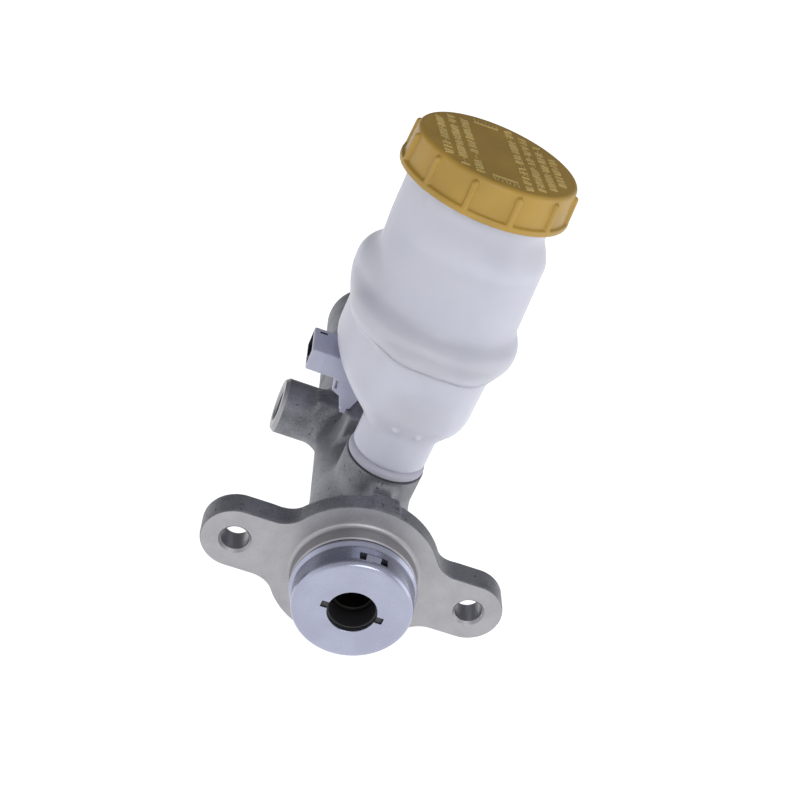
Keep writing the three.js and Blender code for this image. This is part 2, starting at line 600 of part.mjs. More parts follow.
function strainerBasket() {
  const rimTop = tower.rimZ - 0.1;
  const low = rimTop - strainer.depth;
  const basket = latheZ([
    [0, low], [strainer.r - 4, low], [strainer.r, low + 5], [strainer.r, rimTop],
    [strainer.r - strainer.wall, rimTop],
    [strainer.r - strainer.wall, low + 5.6], [strainer.r - 4.6, low + strainer.wall],
    [0, low + strainer.wall],
  ], mouth.x, mouth.y, SMALL);
  const windows = Array.from({ length: strainer.windows }, (_, i) => {
    const pane = new THREE.BoxGeometry(strainer.windowW, strainer.windowW, strainer.windowH);
    pane.translate(strainer.r, 0, low + 5.6 + strainer.windowH / 2);
    pane.rotateZ(i * Math.PI * 2 / strainer.windows);
    return toSolid(pane.translate(mouth.x, mouth.y, 0));
  });
  const drain = latheZ(rod(strainer.drainR, low - 1, low + 3), mouth.x, mouth.y, SMALL);
  return cut(basket, ...windows, drain);
}

// ---- the assembly ----------------------------------------------------------------------------
add('cylinder_body', cylinderBody(), castAluminium);
add('stopper_cap', stopperCap(), platedSteel);
add('piston_guide', guideRing(), blackRubber);
add('rear_grommet', inletGrommet(inlet.rearY), greyRubber);
add('front_grommet', inletGrommet(inlet.frontY), greyRubber);
add('rear_port_seat', flareSeat(rearPort), brass);
add('front_port_seat', flareSeat(frontPort), brass);
add('piston_stop_pin', pistonStopPin(), springSteel);

add('primary_piston', primaryPiston(), anodised);
add('primary_rear_cup', lipCup(piston.grooveR, primary.landY + 0.4), blackRubber);
add('primary_cup', lipCup(primary.noseR, primary.headY + 0.2), blackRubber);
add('cage_screw', cageScrew(), springSteel);
add('primary_spring', coilSpring(spring.primaryR, primary.endY + 0.2, secondary.backY - 2), springSteel);

add('secondary_piston', secondaryPiston(), anodised);
add('secondary_rear_cup', lipCup(piston.grooveR, secondary.landY + 0.4), blackRubber);
add('secondary_cup', lipCup(secondary.noseR, secondary.headY + 0.2), blackRubber);
add('cage_tube', cageTube(), springSteel);
const secondSeatY = secondary.headY + cup.width + 0.6;
add('secondary_spring', coilSpring(spring.secondaryR, secondSeatY, barrel.boreEndY - 0.2), springSteel);

add('reservoir_lower', reservoirLower(), milkyPlastic);
add('reservoir_upper', reservoirUpper(), milkyPlastic);
add('strainer', strainerBasket(), lilacPlastic);
add('filler_cap', fillerCap(), ochrePlastic);
add('cap_seal', capSealRing(), blackRubber);
add('cap_diaphragm', capDiaphragm(), blackRubber);

add('level_switch_housing', levelSwitchHousing(), lilacPlastic);
add('switch_terminal_1', switchTerminal(0), brass);
add('switch_terminal_2', switchTerminal(1), brass);
add('reed_switch', reedSwitch(), platedSteel);
add('reservoir_pin', reservoirPin(), platedSteel);
add('float', floatSolid(), foam);
add('float_magnet', floatMagnet(), magnet);

export default group;
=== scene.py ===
import json
import math

import bmesh
import bpy
import numpy as np
import openvdb
from mathutils import Matrix, Vector


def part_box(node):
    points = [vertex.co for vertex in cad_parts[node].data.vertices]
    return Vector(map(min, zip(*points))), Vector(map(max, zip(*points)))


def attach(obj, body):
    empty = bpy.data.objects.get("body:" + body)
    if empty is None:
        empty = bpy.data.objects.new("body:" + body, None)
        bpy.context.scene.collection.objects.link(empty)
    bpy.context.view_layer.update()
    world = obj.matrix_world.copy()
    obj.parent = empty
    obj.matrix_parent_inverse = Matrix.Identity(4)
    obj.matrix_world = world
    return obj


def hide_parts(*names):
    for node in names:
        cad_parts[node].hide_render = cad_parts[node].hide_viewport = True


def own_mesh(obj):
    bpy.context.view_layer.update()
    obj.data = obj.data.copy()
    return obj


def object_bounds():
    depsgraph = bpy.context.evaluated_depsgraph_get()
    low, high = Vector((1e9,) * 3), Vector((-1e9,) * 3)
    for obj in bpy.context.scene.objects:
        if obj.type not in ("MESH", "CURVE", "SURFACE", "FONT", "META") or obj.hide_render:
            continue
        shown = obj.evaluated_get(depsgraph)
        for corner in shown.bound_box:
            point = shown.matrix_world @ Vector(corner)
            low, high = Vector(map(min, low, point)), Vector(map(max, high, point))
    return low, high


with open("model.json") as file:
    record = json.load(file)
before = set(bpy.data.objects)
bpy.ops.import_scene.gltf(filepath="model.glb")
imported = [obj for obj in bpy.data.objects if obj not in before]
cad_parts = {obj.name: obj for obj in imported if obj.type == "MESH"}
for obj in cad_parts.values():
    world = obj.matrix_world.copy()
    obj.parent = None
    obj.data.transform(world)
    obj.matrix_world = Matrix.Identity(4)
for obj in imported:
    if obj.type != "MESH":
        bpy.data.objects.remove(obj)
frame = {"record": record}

bl_info = {
    "name": "Brake master cylinder",
    "version": (1, 0, 0),
    "blender": (4, 5, 0),
    "location": "View3D > Sidebar > Master cylinder",
    "description": "Fine meshes and finishes for a tandem brake master cylinder with its reservoir",
    "category": "Object",
}

MM = 0.001
TURN = 2 * math.pi
EAR = 11.8
CAD_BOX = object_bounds()
BODIES = frame["record"]["behaviour"]["bodies"]
BODY_OF = {node: body for body, nodes in BODIES.items() for node in nodes}


def cad(node):
    """Lowest and highest corner of a node, in millimetres."""
    low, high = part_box(node)
    return low / MM, high / MM


def middle(node):
    """Centre of a node's box, in millimetres."""
    low, high = cad(node)
    return (low + high) / 2


# ---- driving values -----------------------------------------------------------------------------
def length(name, description, millimetres):
    return bpy.props.FloatProperty(
        name=name, description=description, default=millimetres * MM, min=0, unit="LENGTH", precision=5
    )


def colour(name, description, red, green, blue):
    return bpy.props.FloatVectorProperty(
        name=name, description=description, default=(red, green, blue, 1),
        size=4, min=0, max=1, subtype="COLOR",
    )


class CastingSizes(bpy.types.PropertyGroup):
    barrel: length("Barrel", "Outer radius of the cast barrel", 17.3)
    disc: length("Flange disc", "Radius of the flange around the bore", 29)
    ear: length("Ear", "Radius of each flange ear around its stud hole", EAR)
    ear_blend: length("Ear blend", "Radius of the hollow between an ear and the disc", 10)
    flange: length("Flange", "Thickness of the flange", 10)
    boss: length("Outlet boss", "Radius of an outlet boss", 10.9)
    inlet: length("Inlet boss", "Radius of an inlet boss under the reservoir", 14.3)
    fillet: length("Cast fillet", "Radius of the fillets between cast shapes", 6)
    grid: length("Grid", "Step of the grid on which the casting is shaped", 0.55)


class ReservoirSizes(bpy.types.PropertyGroup):
    wall: length("Wall", "Thickness of the moulded wall", 2.2)
    belly_edge: length("Lower edge", "Radius of the bowl's lower edge", 9)
    rim: length("Rim", "Radius of the rim at the tower's foot", 29.8)
    foot: length("Tower foot", "Radius of the tower at its foot", 27.2)
    shoulder: length("Tower shoulder", "Radius of the tower under its shoulder", 27.6)
    neck: length("Filler neck", "Outer radius of the filler neck", 25.2)
    mouth: length("Filler mouth", "Inner radius of the filler neck", 23)
    grid: length("Grid", "Step of the grid on which the reservoir is shaped", 0.6)


class CapSizes(bpy.types.PropertyGroup):
    radius: length("Radius", "Radius of the cap at its lower band", 30)
    top: length("Top radius", "Radius of the cap at its top", 27.9)
    wall: length("Wall", "Thickness of the cap's wall", 2.2)
    ribs: bpy.props.IntProperty(name="Ribs", description="Number of grip ribs", default=12, min=3)
    rib: length("Rib", "Half the width of a grip rib", 1.2)
    first_rib: bpy.props.FloatProperty(
        name="First rib", description="Angle of the first rib", default=math.radians(12), subtype="ANGLE"
    )
    grid: length("Grid", "Step of the grid on which the cap is shaped", 0.3)


class FinishColours(bpy.types.PropertyGroup):
    casting: colour("Casting", "Blasted cast aluminium", 0.205, 0.21, 0.23)
    machined: colour("Machined", "Machined aluminium faces", 0.36, 0.355, 0.375)
    plating: colour("Plating", "Bluish plated steel", 0.37, 0.385, 0.49)
    milky: colour("Reservoir", "Milky moulded plastic", 0.55, 0.565, 0.74)
    ochre: colour("Cap", "Ochre moulded plastic", 0.37, 0.228, 0.037)
    marks: colour("Raised marks", "Worn tops of the raised marks on the cap", 0.52, 0.40, 0.16)
    switch: colour("Level switch", "Pale lilac grey plastic", 0.45, 0.46, 0.57)
    grommet: colour("Grommet", "Pale grey rubber", 0.40, 0.40, 0.47)
    floor: colour("Floor", "What the pale floor sends back of the light on it", 0.3, 0.3, 0.3)


class MasterCylinderSettings(bpy.types.PropertyGroup):
    casting: bpy.props.PointerProperty(type=CastingSizes)
    reservoir: bpy.props.PointerProperty(type=ReservoirSizes)
    cap: bpy.props.PointerProperty(type=CapSizes)
    colours: bpy.props.PointerProperty(type=FinishColours)


def settings():
    return bpy.context.scene.master_cylinder


class Operator(bpy.types.Operator):
    """What every operator of this file shares"""

    bl_options = {"REGISTER", "UNDO"}

    def execute(self, context):
        self.build(context.scene.master_cylinder)
        return {"FINISHED"}


# ---- shader expressions -------------------------------------------------------------------------
class Wire:
    """A socket of a shader tree. Python's operators on it add Math nodes."""

    def __init__(self, shader, socket):
        self.shader = shader
        self.socket = socket

    def maths(self, operation, *values):
        return self.shader.node("ShaderNodeMath", {"operation": operation}, dict(enumerate(values)))

    def __add__(self, other):
        return self.maths("ADD", self, other)

    __radd__ = __add__

    def __sub__(self, other):
        return self.maths("SUBTRACT", self, other)

    def __rsub__(self, other):
        return self.maths("SUBTRACT", other, self)

    def __mul__(self, other):
        return self.maths("MULTIPLY", self, other)

    __rmul__ = __mul__

    def above(self, low, high):
        """Nought below low, one above high, smooth between them."""
        return self.shader.node(
            "ShaderNodeMapRange", {"interpolation_type": "SMOOTHSTEP"}, {0: self, 1: low, 2: high}
        )


class Tree:
    """A node tree that grows by expressions; place is the texture coordinate that they start from."""

    def __init__(self, tree, place):
        self.tree = tree
        self.place = self.node("ShaderNodeTexCoord", output=place)

    def node(self, kind, options=None, values=None, output=0):
        """Adds a node of this type: its settings first, then the values or wires of its sockets."""
        made = self.tree.nodes.new(kind)
        for key, value in (options or {}).items():
            setattr(made, key, value)
        for key, value in (values or {}).items():
            self.feed(made.inputs[key], value)
        return Wire(self, made.outputs[output])

    def feed(self, socket, value):
        if isinstance(value, Wire):
            self.tree.links.new(value.socket, socket)
        else:
            socket.default_value = value

    def axis(self, index):
        return self.node("ShaderNodeSeparateXYZ", None, {0: self.place}, index)

    def mix(self, factor, first, second):
        values = {0: factor, 6: first, 7: second}
        return self.node("ShaderNodeMix", {"data_type": "RGBA"}, values, 2)


class Shader(Tree):
    """One material: constants go to the surface's own sockets, wires are linked."""

    def __init__(self, name, **constants):
        self.material = bpy.data.materials.new(name)
        self.material.use_nodes = True
        self.material.node_tree.nodes.clear()
        super().__init__(self.material.node_tree, "Object")
        self.surface = self.tree.nodes.new("ShaderNodeBsdfPrincipled")
        output = self.tree.nodes.new("ShaderNodeOutputMaterial")
        self.tree.links.new(self.surface.outputs["BSDF"], output.inputs["Surface"])
        for name_of_socket, value in constants.items():
            self.set(name_of_socket.replace("_", " "), value)

    def set(self, socket, value):
        self.feed(self.surface.inputs[socket], value)

    def noise(self, size, detail=3, roughness=0.5, stretch=None):
        """Noise from nought to one with features of the given size, in metres."""
        place = self.place
        if stretch is not None:
            place = self.node("ShaderNodeVectorMath", {"operation": "MULTIPLY"}, {0: place, 1: stretch})
        values = {"Vector": place, "Scale": 1 / size, "Detail": detail, "Roughness": roughness}
        return self.node("ShaderNodeTexNoise", None, values)

    def bump(self, height, distance, strength=1.0):
        values = {"Height": height, "Distance": distance, "Strength": strength}
        self.set("Normal", self.node("ShaderNodeBump", None, values))


def shade(rgba, factor):
    """The colour made darker or lighter by a factor."""
    return (rgba[0] * factor, rgba[1] * factor, rgba[2] * factor, 1)


# ---- finishes -----------------------------------------------------------------------------------
def cast_aluminium():
    base = settings().colours.casting
    shader = Shader("blasted_casting", Metallic=0.85, Specular_IOR_Level=0.4)
    cloud = shader.noise(0.016, 4, 0.6)
    sand = shader.noise(0.0007, 3, 0.6)
    pits = shader.noise(0.0016, 2, 0.45).above(0.66, 0.74)
    tone = shader.mix(cloud.above(0.3, 0.72), shade(base, 0.72), shade(base, 1.3))
    speckled = shader.mix(sand.above(0.35, 0.7) * 0.35, tone, shade(base, 1.9))
    shader.set("Base Color", shader.mix(pits * 0.75, speckled, shade(base, 0.25)))
    shader.set("Roughness", 0.46 + 0.2 * sand)
    shader.bump(sand * 0.5 + cloud * 0.6 - pits, 0.00022, 0.6)
    return shader.material


def machined_aluminium():
    base = settings().colours.machined
    shader = Shader("machined_aluminium", Metallic=0.9)
    cloud = shader.noise(0.009, 4, 0.6)
    grain = shader.noise(0.0006, 3, 0.6)
    rings = shader.node(
        "ShaderNodeTexWave", {"wave_type": "RINGS", "rings_direction": "Y", "wave_profile": "SIN"},
        {"Vector": shader.place, "Scale": 620, "Distortion": 0.4, "Detail": 1},
    )
    tone = shader.mix(cloud.above(0.3, 0.7), shade(base, 0.92), shade(base, 1.06))
    shader.set("Base Color", shader.mix(grain.above(0.42, 0.7) * 0.4, tone, shade(base, 1.25)))
    shader.set("Roughness", 0.36 + 0.12 * grain)
    shader.bump(rings * 0.35 + grain * 0.5, 0.00006, 0.5)
    return shader.material


def plated_steel():
    base = settings().colours.plating
    shader = Shader("plated_steel", Metallic=0.92)
    cloud = shader.noise(0.012, 3, 0.5)
    grain = shader.noise(0.0005, 2, 0.5)
    tint = shader.mix(cloud.above(0.25, 0.75), shade(base, 0.93), shade(base, 1.05))
    shader.set("Base Color", tint)
    shader.set("Roughness", 0.2 + 0.08 * grain + 0.04 * cloud)
    shader.bump(grain, 0.00003, 0.08)
    return shader.material


def milky_plastic():
    base = settings().colours.milky
    shader = Shader(
        "milky_plastic", IOR=1.5,
        Subsurface_Weight=0.8, Subsurface_Radius=(1.0, 1.0, 1.15), Subsurface_Scale=0.012,
    )
    cloud = shader.noise(0.03, 3, 0.5)
    flow = shader.noise(0.004, 3, 0.5, (1.0, 1.0, 0.25))
    shader.set("Base Color", shader.mix(cloud.above(0.3, 0.7), shade(base, 0.95), shade(base, 1.05)))
    shader.set("Roughness", 0.3 + 0.12 * flow)
    shader.bump(flow + shader.noise(0.0006, 2, 0.5) * 0.25, 0.00012, 0.25)
    return shader.material


def moulded(name, base, grain_size=0.0005, roughness=0.42, relief=0.00004):
    shader = Shader(name, IOR=1.48)
    cloud = shader.noise(0.014, 3, 0.5)
    grain = shader.noise(grain_size, 2, 0.5)
    tone = shader.mix(cloud.above(0.3, 0.7), shade(base, 0.93), shade(base, 1.07))
    shader.set("Base Color", tone)
    shader.set("Roughness", roughness + 0.16 * (grain - 0.5))
    shader.bump(grain, relief, 0.5)
    return shader.material


def rubber(name, base):
    return moulded(name, base, 0.0009, 0.6, 0.00006)


def turned_metal(name, base, roughness=0.3, direction="Y"):
    shader = Shader(name, Metallic=0.95)
    rings = shader.node(
        "ShaderNodeTexWave", {"wave_type": "BANDS", "bands_direction": direction, "wave_profile": "SIN"},
        {"Vector": shader.place, "Scale": 900, "Distortion": 0.8, "Detail": 2},
    )
    cloud = shader.noise(0.006, 3, 0.5)
    shader.set("Base Color", shader.mix(cloud.above(0.3, 0.7), shade(base, 0.88), shade(base, 1.08)))
    shader.set("Roughness", roughness + 0.1 * cloud)
    shader.bump(rings, 0.00002, 0.5)
    return shader.material


FINISHES = {}


def finish(name):
    """The material of this name, made when it is first asked for."""
    colours = settings().colours
    makers = {
        "cast": cast_aluminium,
        "machined": machined_aluminium,
        "plated": plated_steel,
        # Dark port threads and drillings: painted shade inside the port holes, not the cut aluminium's
        # own colour.
        "threaded": lambda: turned_metal("oiled_thread", (0.09, 0.09, 0.095, 1), 0.45, "X"),
        "milky": milky_plastic,
        "ochre": lambda: moulded("ochre_plastic", colours.ochre, 0.0006, 0.4, 0.00005),
        "marks": lambda: moulded("raised_marks", colours.marks, 0.0006, 0.4),
        "switch": lambda: moulded("switch_plastic", colours.switch),
        "grommet": lambda: rubber("grommet_rubber", colours.grommet),
        "black_rubber": lambda: rubber("black_rubber", (0.02, 0.02, 0.021, 1)),
        # Black plastic for the guide ring; the same black also paints the shade inside the connector's
        # socket and latch slot.
        "black": lambda: moulded("black_plastic", (0.018, 0.018, 0.02, 1), 0.0006, 0.45, 0.00005),
        "foam": lambda: moulded("float_foam", (0.03, 0.03, 0.032, 1), 0.0011, 0.8, 0.0002),
        "brass": lambda: turned_metal("turned_brass", (0.66, 0.46, 0.2, 1), 0.28, "X"),
        "steel": lambda: turned_metal("drawn_steel", (0.42, 0.42, 0.44, 1)),
        # Near-black pistons: painted shade in the guide's hole and the bore, not the aluminium's own
        # colour.
        "piston_painted_shade": lambda: turned_metal("anodised_aluminium", (0.03, 0.028, 0.026, 1), 0.5),
        "magnet": lambda: turned_metal("sintered_magnet", (0.1, 0.1, 0.11, 1), 0.5, "Z"),
    }
    if name not in FINISHES:
        FINISHES[name] = makers[name]()
    return FINISHES[name]


# ---- meshes -------------------------------------------------------------------------------------
def as_object(name, mesh, *finishes):
    """An object of the scene with this mesh; each finish takes a material slot."""
    for each in finishes:
        mesh.materials.append(finish(each))
    made = bpy.data.objects.new(name, mesh)
    bpy.context.scene.collection.objects.link(made)
    return made


def smooth(thing, degrees=32):
    """Shades smoothly, but for the edges that are sharper than the angle."""
    thing.data.shade_smooth()
    thing.data.set_sharp_from_angle(angle=math.radians(degrees))
    return thing


def stands_for(thing, *nodes):
    """The piece rides on the body of the nodes it replaces, and those nodes are hidden."""
    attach(thing, BODY_OF[nodes[0]])
    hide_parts(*nodes)
    return thing


def settled(thing):
    """The object's mesh with its modifiers applied."""
    graph = bpy.context.evaluated_depsgraph_get()
    mesh = bpy.data.meshes.new_from_object(thing.evaluated_get(graph))
    thing.modifiers.clear()
    old = thing.data
    thing.data = mesh
    bpy.data.meshes.remove(old)
    return thing


def combine(thing, others, operation="DIFFERENCE", face_slot=None):
    """Cuts the others out of the thing, or joins them to it; a cut's faces take the given slot."""
    for other in others:
        if face_slot is not None:
            for polygon in other.data.polygons:
                polygon.material_index = face_slot
        modifier = thing.modifiers.new(other.name, "BOOLEAN")
        modifier.operation = operation
        modifier.solver = "MANIFOLD"
        modifier.object = other
    settled(thing)
    for other in others:
        bpy.data.objects.remove(other)
    return thing


def mesh_from(bm, name):
    """The finished mesh of a working one, welded and with its faces turned outwards."""
    bmesh.ops.remove_doubles(bm, verts=bm.verts, dist=1e-7)
    bmesh.ops.recalc_face_normals(bm, faces=bm.faces)
    mesh = bpy.data.meshes.new(name)
    bm.to_mesh(mesh)
    bm.free()
    return mesh


def softened(profile, radius, steps=4):
    """The closed profile with each corner that is off the axis rounded."""
    points = [Vector(point) for point in profile]
    rounded = []
    for before, corner, after in zip(points[-1:] + points[:-1], points, points[1:] + points[:1]):
        back, ahead = before - corner, after - corner
        reach = min(radius, back.length * 0.45, ahead.length * 0.45)
        if corner.x < 1e-6 or reach < 1e-4:
            rounded.append(tuple(corner))
            continue
        start = corner + back.normalized() * reach
        end = corner + ahead.normalized() * reach
        for step in range(steps + 1):
            t = step / steps
            rounded.append(tuple(start.lerp(corner, t).lerp(corner.lerp(end, t), t)))
    return rounded


AXIS_TURN = {
    "X": Matrix.Rotation(math.radians(90), 4, "Y"),
    "Y": Matrix.Rotation(math.radians(-90), 4, "X"),
    "Z": Matrix.Identity(4),
}


def turned(name, profile, axis, centre, finish_name, edge=0.25, segments=96):
    """A closed profile of (radius, distance along the axis) in millimetres, turned about the axis."""
    bm = bmesh.new()
    rings = []
    for radius, height in softened(profile, edge) if edge else profile:
        if radius < 1e-6:
            rings.append([bm.verts.new((0, 0, height))])
            continue
        ring = []
        for i in range(segments):
            angle = TURN * i / segments
            ring.append(bm.verts.new((radius * math.cos(angle), radius * math.sin(angle), height)))
        rings.append(ring)
    for ring, following in zip(rings, rings[1:] + rings[:1]):
        for i in range(segments):
            j = (i + 1) % segments
            corners = [
                ring[i % len(ring)], ring[j % len(ring)],
                following[j % len(following)], following[i % len(following)],
            ]
            corners = list(dict.fromkeys(corners))
            if len(corners) > 2:
                bm.faces.new(corners)
    bm.transform(Matrix.Scale(MM, 4) @ Matrix.Translation(centre) @ AXIS_TURN[axis])
    return as_object(name, mesh_from(bm, name), finish_name)


def turned_piece(node, name, profile, axis, centre, finish_name, edge, segments=96, degrees=32):
    """A turned part that takes the place of one node."""
    made = turned(name, profile, axis, centre, finish_name, edge, segments)
    return stands_for(smooth(made, degrees), node)


def rod(radius, start, end):
    """Profile of a round bar."""
    return [(0, start), (radius, start), (radius, end), (0, end)]


def tube(inner, outer, start, end):
    """Profile of a pipe."""
    return [(inner, start), (outer, start), (outer, end), (inner, end)]


def block(name, low, high, finish_name, edge=0.4, turn=None):
    """A box between two corners in millimetres, with rounded edges."""
    bm = bmesh.new()
    bmesh.ops.create_cube(bm, size=1)
    size = Vector(high) - Vector(low)
    bm.transform(Matrix.Diagonal((*size, 1)))
    bmesh.ops.bevel(bm, geom=bm.edges[:], offset=edge, segments=3, profile=0.6, affect="EDGES")
    place = Matrix.Translation((Vector(high) + Vector(low)) / 2)
    bm.transform(Matrix.Scale(MM, 4) @ place @ (turn or Matrix.Identity(4)))
    return as_object(name, mesh_from(bm, name), finish_name)


def joined(name, things):
    """One object from several whose meshes only touch."""
    bm = bmesh.new()
    for thing in things:
        bm.from_mesh(thing.data)
    mesh = bpy.data.meshes.new(name)
    bm.to_mesh(mesh)
    bm.free()
    for material in things[0].data.materials:
        mesh.materials.append(material)
    for thing in things:
        bpy.data.objects.remove(thing)
    made = bpy.data.objects.new(name, mesh)
    bpy.context.scene.collection.objects.link(made)
    return made


# ---- shapes as signed distances -----------------------------------------------------------------
class Space:
    """Grid coordinates in millimetres, and the solids measured on them: below nought is inside."""

    def __init__(self, low, high, step):
        self.low = np.array(low, dtype=np.float32)
        self.step = step / MM
        counts = np.ceil((np.array(high) - self.low) / self.step).astype(int) + 1
        ranges = [self.low[i] + self.step * np.arange(counts[i], dtype=np.float32) for i in range(3)]
        self.x = ranges[0][:, None, None]
        self.y = ranges[1][None, :, None]
        self.z = ranges[2][None, None, :]

    def rod(self, axis, centre, radius, start, end, edge=0.5):
        """A round bar along an axis; centre is where its axis stands, in the other two directions."""
        x, y, z = self.x, self.y, self.z
        across, along = {"X": ((y, z), x), "Y": ((x, z), y), "Z": ((x, y), z)}[axis]
        ring = np.hypot(across[0] - centre[0], across[1] - centre[1])
        return bar(ring - radius, along, start, end, edge)

    def brick(self, low, high, edge=1.0):
        gaps = []
        for along, start, end in zip((self.x, self.y, self.z), low, high):
            gaps.append(np.abs(along - (start + end) / 2) - (end - start) / 2 + edge)
        outside = np.sqrt(sum(np.maximum(gap, 0) ** 2 for gap in gaps))
        inside = np.minimum(np.maximum(np.maximum(gaps[0], gaps[1]), gaps[2]), 0)
        return outside + inside - edge

    def ball(self, centre, radius):
        x, y, z = self.x - centre[0], self.y - centre[1], self.z - centre[2]
        return np.sqrt(x * x + y * y + z * z) - radius

    def surface(self, distance, name):
        """The mesh where the distance is nought."""
        reach = 3 * self.step
        shape = (self.x + self.y + self.z).shape
        values = np.clip(np.broadcast_to(distance, shape), -reach, reach).astype(np.float32)
        grid = openvdb.FloatGrid(reach)
        grid.copyFromArray(np.ascontiguousarray(values))
        points, quads = grid.convertToQuads()
        mesh = bpy.data.meshes.new(name)
        mesh.vertices.add(len(points))
        places = (points * self.step + self.low) * MM
        mesh.vertices.foreach_set("co", places.astype(np.float32).ravel())
        mesh.loops.add(quads.size)
        mesh.loops.foreach_set("vertex_index", quads[:, ::-1].astype(np.int32).ravel())
        mesh.polygons.add(len(quads))
        mesh.polygons.foreach_set("loop_start", np.arange(0, quads.size, 4, dtype=np.int32))
        mesh.update(calc_edges=True)
        mesh.validate()
        return mesh


def bar(side, along, start, end, edge):
    """A flat shape pushed from start to end; side is its distance across, edge rounds both ends."""
    end_gap = np.abs(along - (start + end) / 2) - (end - start) / 2 + edge
    side_gap = side + edge
    outside = np.hypot(np.maximum(side_gap, 0), np.maximum(end_gap, 0))
    return outside + np.minimum(np.maximum(side_gap, end_gap), 0) - edge


def blend(first, second, radius):
    """Both solids, with a fillet of the given radius where they meet."""
    hollow = np.hypot(np.maximum(radius - first, 0), np.maximum(radius - second, 0))
    return np.maximum(radius, np.minimum(first, second)) - hollow


def meet(first, second, radius):
    """What both solids share, with a rounded edge."""
    return -blend(-first, -second, radius)


def carve(solid, tool, radius=0.3):
    """The solid without the tool's shape, with rounded edges."""
    return meet(solid, -tool, radius)


def ramp(values, low, high):
    """A smooth step from nought at low to one at high."""
    t = np.clip((values - low) / (high - low), 0, 1)
    return t * t * (3 - 2 * t)


def outline_distance(points, u, v):
    """Distance to a closed outline in a plane, below nought inside it."""
    nearest = np.full(np.broadcast(u, v).shape, 1e9)
    inside = np.zeros(nearest.shape, dtype=bool)
    for (au, av), (bu, bv) in zip(points, points[1:] + points[:1]):
        eu, ev = bu - au, bv - av
        t = np.clip(((u - au) * eu + (v - av) * ev) / max(eu * eu + ev * ev, 1e-9), 0, 1)
        nearest = np.minimum(nearest, (u - au - eu * t) ** 2 + (v - av - ev * t) ** 2)
        if av != bv:
            inside ^= ((av > v) != (bv > v)) & (u < eu * (v - av) / ev + au)
    return np.where(inside, -1, 1) * np.sqrt(nearest)


def smooth_loop(corners, steps=10):
    """A closed centripetal Catmull-Rom line through the corners."""
    count = len(corners)
    line = []
    for i in range(count):
        p = [Vector(corners[(i + k) % count]) for k in (-1, 0, 1, 2)]
        t = [0.0]
        for near, far in zip(p, p[1:]):
            t.append(t[-1] + math.sqrt((far - near).length))
        for step in range(steps):
            s = t[1] + (t[2] - t[1]) * step / steps
            a = [p[k].lerp(p[k + 1], (s - t[k]) / (t[k + 1] - t[k])) for k in range(3)]
            b = [a[k].lerp(a[k + 1], (s - t[k]) / (t[k + 2] - t[k])) for k in range(2)]
            line.append(tuple(b[0].lerp(b[1], (s - t[1]) / (t[2] - t[1]))))
    return line


# ---- casting ------------------------------------------------------------------------------------
REAR_INLET = middle("rear_grommet").y
FRONT_INLET = middle("front_grommet").y
REAR_PORT = middle("rear_port_seat").y
FRONT_PORT = middle("front_port_seat").y
EAR_X = cad("cylinder_body")[1].x - EAR
PORT_FACE = 34.4
PILOT = {"pad": 21.2, "pad_y": -6.3, "fillet": 1.6, "spigot": 18.3}
BORE = 12.7
LAND = 12.5


def flange_outline(space, sizes):
    """Disc and ears in X and Z, with the exact hollow blend between them."""
    disc, ear, hollow = sizes.disc / MM, sizes.ear / MM, sizes.ear_blend / MM
    x, z = np.abs(space.x), np.abs(space.z)
    plain = np.minimum(np.hypot(x, z) - disc, np.hypot(np.maximum(x - EAR_X, 0), z) - ear)
    centre_z = ear + hollow
    centre_x = math.sqrt((disc + hollow) ** 2 - centre_z ** 2)
    from_x, from_z = x - centre_x, z - centre_z
    beside_disc = from_x * centre_z - from_z * centre_x > 0
    hollow_side = hollow - np.hypot(from_x, from_z)
    return np.where(beside_disc & (from_x < 0) & (from_z < 0), hollow_side, plain)


def cast_shape(space, sizes):
    """The rough casting, with a little left on where it is faced, drilled or bored."""
    fillet = sizes.fillet / MM
    boss = sizes.boss / MM
    front = cad("cylinder_body")[1].y
    ring = np.hypot(space.x, space.z)
    collar = 0.8 * (ramp(space.y, 115, 118) - ramp(space.y, 148, 152))
    barrel = bar(ring - sizes.barrel / MM - collar, space.y, -12, front, 13)
    thickness = sizes.flange / MM - 2.2 + 2.6 * ramp(np.abs(space.x), 20, 34)
    flange = bar(flange_outline(space, sizes), space.y, -0.7, thickness, 1.6)
    flange = carve(flange, space.rod("Y", (0, 0), BORE, -2, 12), 0.5)
    hub = bar(ring - (22.8 - 3.5 * ramp(space.y, 8, 17)), space.y, -12, 17, 1)
    solid = blend(blend(barrel, hub, 2), flange, 4)
    for y in (REAR_INLET, FRONT_INLET):
        inlet = space.rod("Z", (0, y), sizes.inlet / MM, -4, 29.5, 1)
        solid = blend(solid, inlet, fillet * 0.75)
    for y, start, end in ((REAR_PORT, -PORT_FACE - 0.8, 0), (FRONT_PORT, 0, PORT_FACE + 0.8)):
        outlet = space.rod("X", (y, 0), boss, start, end, 1.2)
        solid = blend(solid, outlet, fillet * 0.9)
    lug = space.brick((-13.2, 58, 4), (-4, 71.5, 24.2), 1.4)
    solid = blend(solid, lug, 2.5)
    web = space.brick((-2.5, 5, 12), (4.5, REAR_INLET - 10, 24.5), 1.6)
    solid = blend(solid, web, 3)
    land = space.brick((-4.5, 0.6, 20), (5.5, 9.4, 29), 0.7)
    solid = blend(solid, land, 0.6)
    shelf = space.brick((-22, 80, 2), (-6, REAR_PORT, 12.5), 1.6)
    solid = blend(solid, shelf, 2.5)
    keel = space.brick((-3.2, 14, -19.4), (3.2, 150, -10), 1.2)
    return blend(solid, keel, 3)


